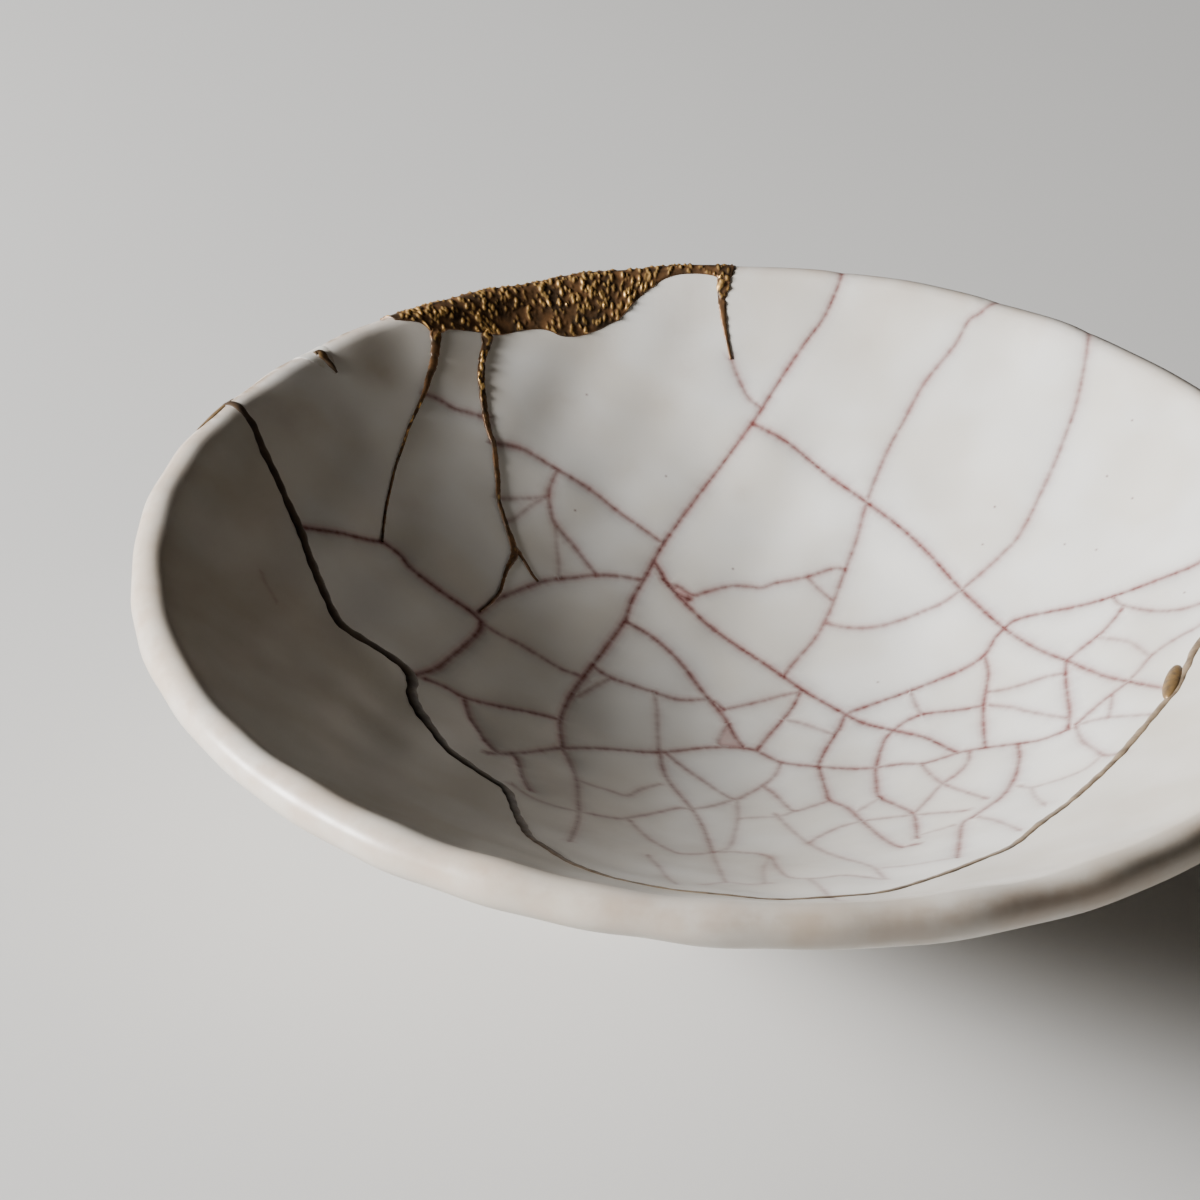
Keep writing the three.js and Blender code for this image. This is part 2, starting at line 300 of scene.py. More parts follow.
FLOOR_CRACKS = [
    (0.75, [(626, 620), (640, 628), (655, 638), (682, 664), (708, 697), (718, 708), (728, 722),
            (737, 738), (745, 747)]),
    (0.60, [(593, 664), (610, 675), (630, 683), (675, 698), (709, 699), (724, 709)]),
    (0.40, [(612, 676), (597, 684), (580, 694)]),
    (0.55, [(724, 709), (745, 705), (765, 700), (785, 694), (803, 690)]),
    (0.75, [(801, 690), (792, 708), (782, 721), (770, 734), (757, 748)]),
    (0.45, [(728, 722), (719, 742), (744, 746)]),
    (0.70, [(490, 752), (520, 753), (545, 750), (563, 748), (600, 748), (657, 751), (706, 746),
            (740, 746), (758, 750), (783, 762), (818, 767), (860, 768), (900, 764), (925, 764),
            (960, 753), (985, 747), (1018, 741), (1040, 737), (1068, 727)]),
    (0.35, [(654, 692), (657, 710), (658, 730), (659, 748)]),
    (0.55, [(562, 748), (570, 762), (576, 778), (578, 800), (578, 820), (570, 841)]),
    (0.40, [(577, 780), (592, 786), (610, 791), (627, 795), (642, 788), (660, 783)]),
    (0.55, [(660, 752), (663, 766), (668, 778), (680, 795), (692, 809), (701, 823), (708, 838),
            (713, 852)]),
    (0.50, [(668, 753), (690, 770), (706, 781), (720, 791), (735, 797), (748, 792), (762, 785),
            (775, 775), (781, 762)]),
    (0.50, [(591, 815), (620, 818), (640, 815), (675, 808), (692, 809), (712, 806), (735, 797)]),
    (0.40, [(630, 820), (645, 834), (660, 845), (677, 853), (695, 854), (713, 852)]),
    (0.35, [(648, 855), (660, 868), (677, 884)]),
    (0.35, [(712, 852), (718, 866), (726, 882)]),
    (0.30, [(703, 884), (726, 882), (748, 884), (771, 883)]),
    (0.35, [(737, 798), (738, 815), (735, 832), (728, 847), (714, 851)]),
    (0.50, [(763, 785), (775, 793), (786, 804), (795, 810), (812, 805), (830, 799)]),
    (0.35, [(738, 818), (760, 817), (780, 816), (795, 810)]),
    (0.45, [(714, 851), (740, 851), (769, 855), (778, 868), (790, 876), (815, 878), (845, 876),
            (885, 878)]),
    (0.30, [(770, 856), (764, 869), (765, 883)]),
    (0.35, [(810, 879), (824, 890), (842, 901)]),
    (0.30, [(884, 869), (915, 866), (957, 858)]),
    (0.40, [(783, 720), (800, 724), (820, 731), (833, 735)]),
    (0.70, [(819, 768), (822, 778), (826, 790), (830, 799), (845, 805), (854, 812), (873, 830),
            (885, 839), (900, 847), (915, 845)]),
    (0.35, [(855, 811), (866, 805), (880, 797)]),
    (0.50, [(808, 842), (820, 835), (840, 826), (863, 820), (890, 817), (912, 815), (940, 813),
            (966, 811)]),
    (0.40, [(808, 842), (795, 832), (783, 822), (776, 814)]),
    (0.40, [(808, 842), (825, 850), (845, 858), (870, 866), (885, 878)]),
]
RIGHT_CRACKS = [
    (0.80, [(1004, 628), (1015, 620), (1040, 613), (1081, 605), (1115, 595), (1150, 582),
            (1190, 566), (1205, 558), (1255, 528), (1300, 482), (1335, 436)]),
    (0.55, [(1113, 596), (1120, 604), (1140, 610), (1160, 611), (1180, 608), (1200, 602),
            (1250, 580), (1300, 552)]),
    (0.70, [(1122, 609), (1112, 622), (1100, 634), (1085, 645), (1066, 660)]),
    (0.80, [(1004, 628), (995, 638), (984, 655), (965, 667), (945, 676), (910, 690), (870, 705),
            (847, 715), (840, 728), (830, 743), (822, 757), (818, 767)]),
    (0.75, [(984, 655), (988, 670), (986, 686), (983, 704), (983, 725), (985, 747)]),
    (0.50, [(910, 690), (915, 703), (921, 715)]),
    (0.75, [(983, 704), (960, 709), (940, 712), (921, 715), (905, 722), (893, 731), (884, 741),
            (876, 766), (876, 780), (879, 795), (895, 803), (912, 812), (916, 825),
            (917, 838)]),
    (0.45, [(989, 704), (1010, 706), (1030, 711), (1065, 716)]),
    (0.50, [(986, 691), (1005, 688), (1024, 683), (1045, 676), (1064, 672)]),
    (0.75, [(1004, 628), (1020, 639), (1040, 650), (1066, 660), (1085, 668), (1106, 676),
            (1129, 682), (1165, 687)]),
    (0.75, [(1066, 660), (1065, 675), (1067, 695), (1069, 712), (1067, 726)]),
    (0.50, [(1129, 681), (1140, 670), (1150, 658), (1165, 646), (1182, 635), (1200, 624),
            (1228, 600), (1262, 560)]),
    (0.35, [(1098, 638), (1115, 640), (1132, 644), (1150, 657)]),
    (0.60, [(1129, 682), (1115, 692), (1100, 703), (1086, 714), (1075, 723)]),
    (0.45, [(1112, 695), (1111, 706), (1108, 717)]),
    (0.40, [(1075, 724), (1095, 719), (1115, 716), (1152, 714)]),
    (0.50, [(1075, 725), (1082, 740), (1094, 749), (1104, 755), (1121, 753)]),
    (0.35, [(1101, 756), (1088, 766), (1070, 774), (1050, 780), (1030, 785), (1019, 784)]),
    (0.75, [(1017, 742), (1019, 756), (1015, 774), (1000, 797), (975, 816), (963, 824),
            (960, 840), (957, 858)]),
    (0.35, [(1031, 786), (1035, 796), (1044, 803)]),
    (0.50, [(922, 765), (930, 775), (942, 783), (960, 790), (986, 798)]),
    (0.55, [(970, 752), (968, 763), (958, 774), (942, 784), (930, 796), (915, 812)]),
    (0.40, [(916, 836), (935, 831), (953, 826)]),
    (0.40, [(979, 818), (1000, 822), (1020, 831)]),
]
CRACK_SPACING = 0.3
GROWN_STEP = CRACK_SPACING * 1.5
GROWN_BEND = 0.007
GROWN_WANDER = 0.05
GROWN_STEPS = 200
GROWN_DARK = (0.35, 0.75)
STARTS_DRAWN = 4000
STARTS_COMPARED = 60
SHORTEST_GROWN = 5


def traced_cracks(lists):
    """The traced lines, each as how dark it is and the places along it, laid out flat."""
    return [(dark, smooth(seen_on_glaze(pixels), CRACK_SPACING))
            for group in lists for dark, pixels in group]


def grown_cracks(rng, known, wanted, allowed, strength):
    """More crackle: each crack starts in the widest gap left and runs on until it meets
    another, or leaves the region where it is allowed."""
    taken = np.concatenate([line for _, line in known]) if known else np.zeros((1, 2))
    grown = []
    for _ in range(wanted):
        tries = rng.uniform(-FULL_LENGTH, FULL_LENGTH, (STARTS_DRAWN, 2))
        tries = tries[allowed(tries)][:STARTS_COMPARED]
        gaps = [np.min(np.hypot(*(taken - spot).T)) for spot in tries]
        start = tries[int(np.argmax(gaps))]
        heading = rng.uniform(0, math.pi)
        ways = [run_crack(rng, start, heading + way * math.pi, taken, allowed) for way in (0, 1)]
        line = np.array(ways[0][::-1] + [start] + ways[1])
        if len(line) > SHORTEST_GROWN:
            grown.append((rng.uniform(*GROWN_DARK) * strength, line))
            taken = np.concatenate([taken, line])
    return grown


def run_crack(rng, start, heading, taken, allowed):
    """One crack from its start, nearly straight, until it meets another or has to stop."""
    spot = start
    path = []
    bend = rng.normal(0, GROWN_BEND)
    for _ in range(GROWN_STEPS):
        heading += bend + rng.normal(0, GROWN_WANDER)
        spot = spot + GROWN_STEP * np.array([math.cos(heading), math.sin(heading)])
        if not allowed(spot[None])[0]:
            break
        path.append(spot)
        apart = np.hypot(*(taken - spot).T)
        if np.min(apart) < GROWN_STEP:
            path.append(taken[int(np.argmin(apart))])
            break
    return path


# The breaks: one from rim to rim along the near side, a lost chip at the back of the rim and a
# very small one left of it. Each path is a list of angles and shares, square through the wall.
SEAM_PATH = [
    (158.4, 1.12), (158.9, 1.02), (159.6, 0.979), (162.0, 0.936), (164.3, 0.888), (167.9, 0.833),
    (171.3, 0.802), (175.2, 0.769), (178.6, 0.741), (181.9, 0.712), (183.1, 0.672),
    (184.4, 0.614), (187.2, 0.590), (194.1, 0.593), (203.7, 0.579), (208.8, 0.571),
    (212.6, 0.552), (218.0, 0.537), (223.5, 0.535), (233.1, 0.596), (241.3, 0.670),
    (247.7, 0.722), (254.7, 0.779), (262.0, 0.826), (272.0, 0.840), (282.0, 0.825),
    (291.0, 0.794), (297.8, 0.763), (306.1, 0.733), (316.1, 0.702), (325.8, 0.693),
    (335.3, 0.706), (344.4, 0.732), (349.4, 0.757), (354.0, 0.772), (358.9, 0.800),
    (366.1, 0.906), (371.3, 1.040), (373.6, 1.120)]
FILL_EDGE_PIXELS = [
    (388, 320), (400, 321), (410, 322), (420, 324), (426, 328), (431, 334), (443, 334),
    (448, 331), (460, 332), (478, 333), (498, 336), (510, 334), (520, 332), (540, 330),
    (552, 333), (560, 337), (570, 338), (580, 337), (590, 334), (600, 330), (610, 325),
    (620, 320), (630, 308), (636, 302), (645, 294), (655, 287), (665, 280), (680, 275),
    (700, 274), (714, 277), (722, 281), (731, 277), (738, 270)]
SMALL_CHIP_PATH = [(143.0, 1.04), (143.9, 1.0), (144.9, 0.975), (146.2, 1.0), (147.4, 1.04)]
SEAM_GAP = 0.74
CUT_REACH = 4.0
NOTCH_TOP = 1.12
SEAM_SPACING = 0.8
WELD = 1e-5
BOWL_WELD = 0.002


def wall_place(angle, share, out):
    return round_axis(angle, *wall_section(share, out))


def closed_form(loops):
    """The places and faces of a closed form through a row of loops of places."""
    count, around = loops.shape[:2]
    faces = [(row * around + spot, row * around + (spot + 1) % around,
              (row + 1) * around + (spot + 1) % around, (row + 1) * around + spot)
             for row in range(count - 1) for spot in range(around)]
    faces.append(tuple(range(around))[::-1])
    faces.append(tuple(range((count - 1) * around, count * around)))
    return loops.reshape(-1, 3), faces


def cutter(name, loops):
    """A closed form as a mesh that can cut the bowl."""
    places, faces = closed_form(loops)
    mesh = bpy.data.meshes.new(name)
    mesh.from_pydata(places.tolist(), [], faces)
    return outward(mesh)


def outward(mesh, weld=WELD):
    """The mesh with its doubled corners welded and every face turned outward."""
    work = bmesh.new()
    work.from_mesh(mesh)
    bmesh.ops.remove_doubles(work, verts=work.verts, dist=weld)
    bmesh.ops.dissolve_degenerate(work, edges=work.edges, dist=weld / 10)
    bmesh.ops.recalc_face_normals(work, faces=work.faces)
    work.to_mesh(mesh)
    work.free()
    return mesh


def seam_curtain(path, half_gap):
    """The slot that the break leaves, square through the wall."""
    along = np.gradient(path, axis=0)
    turned = np.stack([-along[:, 1] * LIP_RING_RADIUS, np.radians(along[:, 0]) * LIP_RING_RADIUS
                       * path[:, 1]], axis=-1)
    turned = turned / np.linalg.norm(turned, axis=1, keepdims=True)
    side_angle = np.degrees(turned[:, 0] * half_gap / (LIP_RING_RADIUS * path[:, 1]))
    side_share = turned[:, 1] * half_gap / LENGTH_PER_SHARE
    corners = [(-1, -1), (1, -1), (1, 1), (-1, 1)]
    return cutter("seam_curtain", np.stack([
        wall_place(path[:, 0] + side * side_angle, path[:, 1] + side * side_share,
                   out * CUT_REACH) for side, out in corners], axis=1))


def rim_notch(name, angle, share):
    """What a chip took away, from its edge up past the rim."""
    corners = [(0, -1), (1, -1), (1, 1), (0, 1)]
    return cutter(name, np.stack([
        wall_place(angle, np.where(upper, NOTCH_TOP, share), out * CUT_REACH)
        for upper, out in corners], axis=1))


seam_path = smooth(np.array(SEAM_PATH), SEAM_SPACING)
SEAM_ANGLES = seam_path[:, 0]
SEAM_SHARES = seam_path[:, 1]


def on_sherd(angle, share):
    """Whether a place is on the front sherd's side of the seam."""
    angle = np.where(angle < 90, angle + 360, angle)
    edge = np.interp(angle, SEAM_ANGLES, SEAM_SHARES, left=9, right=9)
    return share > edge


# The crackle that the photo doesn't show, at the right of the bowl and all over its outside,
# grown from the cracks that run over the rim.
OUTSIDE_CRACKS = 34
SHERD_CRACKS = 7
INNER_RIGHT_CRACKS = 4
FOOT_JOIN = 23.0
PAST_PHOTO = 15
SEAM_MARGIN = 0.01
OVER_LIP = 0.2
OUTSIDE_START = 0.05
INSIDE_STRENGTH = 0.9
OUTSIDE_STRENGTH = 0.8
SHERD_STRENGTH = 0.45
FAR_AWAY = 200.0


def on_photo(places):
    """The photo pixels where these places of the bowl show."""
    seen = waved(places) - np.array(EYE)
    ahead = seen @ np.array(FORWARD)
    across = np.stack([seen @ np.array(RIGHT), -(seen @ np.array(UP))], axis=-1)
    return PHOTO_SIDE / 2 + FOCAL_PIXELS * across / ahead[:, None]


def inner_right(points):
    """Whether flat places are inside the bowl and past the photo's right edge."""
    angle, length = unflat(points)
    column = on_photo(skin(angle, length))[:, 0]
    return (column > PHOTO_SIDE + PAST_PHOTO) & (length < LIP_END) & ~on_sherd(
        angle, share_at(length) + SEAM_MARGIN)


def body_outside(points):
    angle, down = unflat(points)
    wall = (down > FOOT_JOIN) & (down < OUTSIDE_LENGTH[-1])
    return wall & ~on_sherd(angle, np.interp(down, OUTSIDE_LENGTH, SHARES) + SEAM_MARGIN)


def sherd_outside(points):
    angle, down = unflat(points)
    return (down < OUTSIDE_LENGTH[-1]) & on_sherd(
        angle, np.interp(down, OUTSIDE_LENGTH, SHARES) - SEAM_MARGIN)


def over_lip(line):
    """A crack that reaches the rim goes on over it."""
    for end, row in ((0, line[0]), (-1, line[-1])):
        angle, length = unflat(row)
        if length > LIP_START:
            further = np.arange(length + CRACK_SPACING, LIP_END + OVER_LIP, CRACK_SPACING)
            over = flat(angle, further)
            line = np.concatenate([over[::-1], line] if end == 0 else [line, over])
    return line


rng = np.random.default_rng(5)
inside_cracks = [(dark, over_lip(line)) for dark, line in
                 traced_cracks([FAR_WALL_CRACKS, LEFT_CRACKS, FLOOR_CRACKS, RIGHT_CRACKS])]
inside_cracks += grown_cracks(rng, inside_cracks, INNER_RIGHT_CRACKS, inner_right,
                              INSIDE_STRENGTH)
outside_cracks = []
for dark, line in inside_cracks:
    for row in (line[0], line[-1]):
        angle, length = unflat(row)
        if length > LIP_END - CRACK_SPACING:
            start = flat(angle, OUTSIDE_LENGTH[-1] - OUTSIDE_START)
            taken = flat(np.zeros(1), np.array([FAR_AWAY]))
            path = run_crack(rng, start, math.radians(angle) + math.pi, taken, body_outside)
            outside_cracks.append((dark, np.array([start] + path)))
outside_cracks += grown_cracks(rng, outside_cracks, OUTSIDE_CRACKS, body_outside,
                               OUTSIDE_STRENGTH)
outside_cracks += grown_cracks(rng, outside_cracks, SHERD_CRACKS, sherd_outside,
                               SHERD_STRENGTH)


# The larger piece: crackled glaze over thrown stoneware, on a turned foot whose edge is left
# bare. Its mesh has rows of points along each crack, so that each line stays sharp.
PINHOLES = [(733, 569), (878, 683), (587, 395), (666, 477), (575, 511), (1107, 477),
            (1132, 421), (1132, 498), (983, 546), (995, 508), (1065, 545), (1096, 550),
            (1184, 592)]
# Brown patches inside the bowl: photo pixel, size and strength. The broad ones on the left wall
# are painted shade, with a little brown tint, where the left rim shades the wall; the four broad
# ones across the near floor are painted shade, darker towards the front where the light falls
# off; the two beside the seam low at the left are partly a brown tint and partly painted shade.
# The rest are the glaze's own tea-brown marks and thin-glaze tint, the small ones at crack ends
# and on the near lip among them.
STAINS_AND_SHADE = [
    (680, 330, 3.2, 0.35), (690, 368, 2.6, 0.3), (665, 400, 2.4, 0.3), (600, 345, 3.0, 0.35),
    (560, 400, 3.2, 0.35), (590, 430, 2.6, 0.3), (630, 470, 2.2, 0.25), (870, 340, 2.6, 0.25),
    (380, 370, 2.6, 0.5), (290, 411, 3.6, 0.5), (340, 420, 3.0, 0.3), (250, 500, 6.0, 0.35),
    (280, 600, 6.5, 0.35), (330, 700, 5.5, 0.3), (470, 380, 3.0, 0.3), (410, 505, 2.6, 0.3),
    (455, 720, 2.8, 0.35), (500, 765, 2.8, 0.3), (740, 494, 1.4, 0.25), (137, 560, 7.5, 0.35),
    (220, 620, 7.5, 0.4), (549, 494, 0.9, 0.5), (556, 526, 0.8, 0.4), (563, 747, 0.8, 0.5),
    (657, 751, 0.7, 0.4), (748, 586, 0.7, 0.4), (808, 842, 0.8, 0.5), (677, 887, 1.0, 0.5),
    (730, 885, 1.0, 0.5), (757, 885, 0.9, 0.4), (770, 855, 1.0, 0.5), (840, 900, 1.1, 0.4),
    (915, 883, 0.9, 0.4), (805, 935, 2.2, 0.5), (640, 840, 7.0, 0.3), (760, 870, 7.0, 0.3),
    (880, 850, 7.0, 0.25), (560, 790, 5.0, 0.3)]
WEDGES = [[(668, 584), (685, 603), (693, 595)], [(728, 722), (718, 743), (745, 747)]]
KNOT_SIZE = 0.36
KNOT_LINE = 0.35
KNOT_PINK = 0.6
WEDGE_PINK = 0.8
EDGE_OCHRE_FROM = 126.0
EDGE_OCHRE_TO = 168.0
EDGE_OCHRE_IN = 0.35
EDGE_OCHRE_WIDTH = 0.95
CRACK_HALF_WIDTH = 0.27
PINK_WIDTH = 0.58
# Painted shade: a soft grey band beside each crack, darker on one side, stands in for the shadow
# that each crack casts inside the thick glaze.
PAINTED_SHADE_WIDTH = 1.45
DENT_NARROW = 0.35
DENT_WIDE = 1.5
NARROW_DEPTH = 0.045
WIDE_DEPTH = 0.10
RING_POINTS = 600
FOOT_POINTS = 240
LIP_ROWS = 8
FILLER_GAP = 1.15
FILLER_ROW = 0.866
FILLER_SHIFT = 0.16
FILLER_KEEPS = 0.6
RING_KEEPS = 0.25
PINHOLE_KEEPS = 0.07
PINHOLE_RINGS = (0.14, 0.3)
PINHOLE_RADIUS = 0.14
SHEET_MARGIN = 0.1
CRACK_ROWS = ((0, 1, 0.09), (0.2, 1, 0.11), (0.45, 1, 0.16), (0.9, 2, 0.36), (1.6, 3, 0.6))
FOOT_FILLET = 1.2
FOOT_EDGE = 0.9
FOOT_RING_WIDTH = 4.0
FOOT_TOP_Z = 6.5
TURNING_MARK = 0.05
RECESS_ROWS = 42
GLAZE_THICK = 0.45
WEDGE_EDGE = 0.25
WIPED_TO = 1.3
WIPED_FADE = 0.5
LIP_TAN_WIDTH = 3.0
EDGE_FADE = 6
EDGE_LEAST = 0.15
# The side of each crack whose painted shade is darker, and how much of it the other side keeps.
SHADED_SIDE = (0.75, -0.65)
DIM_SIDE = 0.55


def beside_cracks(lines):
    """Rows of points along each crack, with the gap that each row keeps from the others."""
    groups = []
    for offset, every, gap in CRACK_ROWS:
        rows = []
        for _, line in lines:
            along = np.gradient(line, axis=0)
            across = np.stack([-along[:, 1], along[:, 0]], axis=-1)
            across = across / (np.linalg.norm(across, axis=1, keepdims=True) + 1e-9)
            rows += [(line + side * offset * across)[::every] for side in (-1, 1)]
        groups.append((np.concatenate(rows), gap))
    return groups


def ring(length, count):
    return flat(np.arange(count) * 360 / count, np.full(count, length))


def filler(reach, rng):
    """Points in shifted rows for the glaze between cracks."""
    count = int(reach / FILLER_GAP) + 2
    across, up = np.meshgrid(np.arange(-count, count + 1), np.arange(-count, count + 1))
    spots = np.stack([(across + 0.5 * (up % 2)) * FILLER_GAP, up * FILLER_GAP * FILLER_ROW],
                     axis=-1)
    shift = rng.uniform(-FILLER_SHIFT, FILLER_SHIFT, (spots.size // 2, 2))
    return spots.reshape(-1, 2) + shift


def spaced(first, groups, allowed):
    """The first places and what the groups add to them at their gaps."""
    kept = first
    for spots, gap in groups:
        spots = spots[allowed(spots)]
        _, chosen = np.unique(np.floor(spots / gap), axis=0, return_index=True)
        spots = spots[np.sort(chosen)]
        tree = tree_of(kept)
        near = np.array([tree.find((x, y, 0))[2] for x, y in spots])
        kept = np.concatenate([kept, spots[near > gap]])
    return kept


def tree_of(points):
    tree = kdtree.KDTree(len(points))
    for index, (x, y) in enumerate(points):
        tree.insert((x, y, 0), index)
    tree.balance()
    return tree


def triangles(points, hole=0.0):
    """The flat places joined into triangles, but for a round hole in the middle."""
    spots, _, faces, *_ = delaunay_2d_cdt(points.tolist(), [], [], 0, 1e-7, False)
    spots = np.array([tuple(spot) for spot in spots])
    faces = np.array(faces)
    middles = spots[faces].mean(axis=1)
    return spots, faces[np.hypot(*middles.T) > hole]


def foot_rows():
    """The turned foot, from the foot of the wall to the middle of its recess."""
    join = wall_section(SHARES, half_wall(SHARES))
    wall_z = float(np.interp(FOOT_RADIUS + FOOT_FILLET, join[0], join[1]))
    inner = FOOT_RADIUS - FOOT_RING_WIDTH
    quarter = np.linspace(0, math.pi / 2, 6)
    rows = [(FOOT_RADIUS + FOOT_FILLET * (1 - math.sin(t)),
             wall_z - FOOT_FILLET * (1 - math.cos(t))) for t in quarter]
    rows += [(FOOT_RADIUS, z) for z in np.linspace(rows[-1][1], FOOT_EDGE, 6)[1:-1]]
    rows += [(FOOT_RADIUS - FOOT_EDGE * (1 - math.cos(t)), FOOT_EDGE * (1 - math.sin(t)))
             for t in quarter]
    rows += [(r, 0.0) for r in np.linspace(rows[-1][0], inner + FOOT_EDGE, 4)[1:-1]]
    rows += [(inner + FOOT_EDGE * (1 - math.sin(t)), FOOT_EDGE * (1 - math.cos(t)))
             for t in quarter]
    rows += [(inner - FOOT_EDGE * (1 - math.cos(t)),
              RECESS_HEIGHT - FOOT_EDGE * (1 - math.sin(t))) for t in quarter]
    rows += [(r, RECESS_HEIGHT + TURNING_MARK * math.sin(r * 5)) for r in
             np.linspace(rows[-1][0], 0.4, RECESS_ROWS)[1:]]
    return rows


def inner_sheet(rng):
    """The inside and the lip, as places and faces, finest along the cracks."""
    lip = np.linspace(LIP_START, LIP_END, LIP_ROWS + 1)
    groups = beside_cracks(inside_cracks)
    holes = seen_on_glaze(PINHOLES)
    dots = [holes] + [holes + r * np.array([math.cos(t), math.sin(t)])
                      for r in PINHOLE_RINGS for t in np.arange(6) * math.pi / 3]
    groups.insert(0, (np.concatenate(dots), PINHOLE_KEEPS))
    groups += [(ring(length, RING_POINTS), RING_KEEPS) for length in lip[:-1]]
    groups.append((filler(LIP_START, rng), FILLER_KEEPS))
    spots = spaced(ring(LIP_END, RING_POINTS), groups,
                   lambda spots: np.hypot(*spots.T) < LIP_END - SHEET_MARGIN)
    spots, faces = triangles(spots)
    angle, length = unflat(spots)
    dent = crack_dent(spots, inside_cracks) * (length < LIP_END - SHEET_MARGIN)
    return skin(angle, length, dent), faces.tolist()


def outer_sheet(rng, foot_down):
    """The outside, from the lip down to the foot."""
    lowest = foot_down + SHEET_MARGIN
    highest = OUTSIDE_LENGTH[-1] - SHEET_MARGIN
    groups = beside_cracks(outside_cracks)
    groups.append((filler(OUTSIDE_LENGTH[-1], rng), FILLER_KEEPS))
    rings = np.concatenate([ring(OUTSIDE_LENGTH[-1], RING_POINTS), ring(foot_down, FOOT_POINTS)])
    spots = spaced(rings, groups, lambda spots: (np.hypot(*spots.T) < highest)
                   & (np.hypot(*spots.T) > lowest))
    spots, faces = triangles(spots, foot_down)
    angle, down = unflat(spots)
    dent = crack_dent(spots, outside_cracks) * (down > lowest) * (down < highest)
    return skin(angle, FULL_LENGTH - down, dent), faces.tolist()


def foot_sheet(foot, foot_down):
    """The foot, as rings of places closed by a fan in the middle of its recess."""
    turn = np.arange(FOOT_POINTS) * 360 / FOOT_POINTS
    places = [skin(turn, FULL_LENGTH - foot_down)]
    places += [round_axis(turn, r, z) for r, z in foot[1:]]
    places.append(np.array([[0, 0, foot[-1][1]]]))
    spots = np.arange(FOOT_POINTS)
    following = (spots + 1) % FOOT_POINTS
    faces = []
    for row in range(len(foot) - 1):
        low = row * FOOT_POINTS
        high = low + FOOT_POINTS
        faces += np.stack([low + spots, low + following, high + following, high + spots],
                          axis=1).tolist()
    last = (len(foot) - 1) * FOOT_POINTS
    middle = np.full(FOOT_POINTS, last + FOOT_POINTS)
    faces += np.stack([last + spots, last + following, middle], axis=1).tolist()
    return np.concatenate(places), faces


def joined(parts):
    """One list of places and one of faces from several forms."""
    faces = []
    start = 0
    for part_places, part_faces in parts:
        faces += [tuple(start + spot for spot in face) for face in part_faces]
        start += len(part_places)
    return np.concatenate([part[0] for part in parts]), faces


def whole_bowl():
    """The unbroken bowl as one closed mesh, before the rim's wave."""
    rng = np.random.default_rng(3)
    foot = foot_rows()
    outside = wall_section(SHARES, half_wall(SHARES))
    foot_down = float(np.interp(foot[0][0], outside[0], OUTSIDE_LENGTH))
    places, faces = joined([inner_sheet(rng), outer_sheet(rng, foot_down),
                            foot_sheet(foot, foot_down)])
    mesh = bpy.data.meshes.new("whole_bowl")
    mesh.from_pydata(places.tolist(), [], faces)
    return outward(mesh, BOWL_WELD)


def cut_away(mesh, notches):
    """The mesh less what the notches hold."""
    whole = bpy.data.objects.new("whole_bowl", mesh)
    bpy.context.scene.collection.objects.link(whole)
    made = [whole]
    for notch in notches:
        tool = bpy.data.objects.new(notch.name, notch)
        bpy.context.scene.collection.objects.link(tool)
        made.append(tool)
        step = whole.modifiers.new(notch.name, "BOOLEAN")
        step.operation = "DIFFERENCE"
        step.solver = "MANIFOLD"
        step.object = tool
    depsgraph = bpy.context.evaluated_depsgraph_get()
    cut = bpy.data.meshes.new_from_object(whole.evaluated_get(depsgraph))
    for used in made:
        bpy.data.objects.remove(used)
    return cut


def wall_coordinates(places):
    """The share and the distance out from the middle of the wall of each place."""
    radius = np.hypot(places[:, 0], places[:, 1])
    share = radius / LIP_RING_RADIUS
    for _ in range(12):
        slope = wall_slope(share)
        middle = FLOOR_MIDDLE_Z + WALL_RISE * share ** BOWL_CURVE
        out = (radius - LIP_RING_RADIUS * share) * np.sin(slope)
        out = out - (places[:, 2] - middle) * np.cos(slope)
        share = np.maximum((radius - out * np.sin(slope)) / LIP_RING_RADIUS, 0)
    return share, out


def skin_lengths(places, share, out):
    """The length of each place, as if it lay on the glaze."""
    radius = np.hypot(places[:, 0], places[:, 1])
    turn = np.arctan2(places[:, 2] - LIP_RING_Z, radius - LIP_RING_RADIUS)
    round_lip = LIP_START + (wall_slope(1.0) + math.pi / 2 - turn) * LIP_RADIUS
    inside = np.interp(share, SHARES, INSIDE_LENGTH)
    outside = FULL_LENGTH - np.interp(share, SHARES, OUTSIDE_LENGTH)
    return np.where(share > 1, round_lip, np.where(out < 0, inside, outside))


def nearest_crack(spots, lines):
    """How far each flat place is from a crack, how dark that is, and the way from it."""
    samples = []
    for number, (dark, line) in enumerate(lines):
        fine = smooth(line[:, :2], CRACK_SPACING / 3)
        run = np.arange(len(fine)) * CRACK_SPACING / 3
        uneven = 1.02 + 0.16 * np.sin(run * 0.9 + number) * np.sin(run * 2.3 + 2.0 * number)
        uneven = uneven + 0.14 * np.sin(run * 3.7) * np.sin(run * 9.0 + number)
        samples.append(np.column_stack([fine, dark * uneven]))
    samples = np.concatenate(samples)
    tree = tree_of(samples[:, :2])
    found = [tree.find((x, y, 0)) for x, y in spots]
    nearest = samples[[index for _, index, _ in found]]
    apart = np.array([distance for _, _, distance in found])
    return apart, nearest[:, 2], spots - nearest[:, :2]


def crack_dent(spots, lines):
    """The glaze drew back from each crack, so every cell between cracks is a low pillow."""
    apart, dark, _ = nearest_crack(spots, lines)
    narrow = np.exp(-(apart / DENT_NARROW) ** 2)
    wide = np.exp(-(apart / DENT_WIDE) ** 2)
    return -dark * (NARROW_DEPTH * narrow + WIDE_DEPTH * wide)


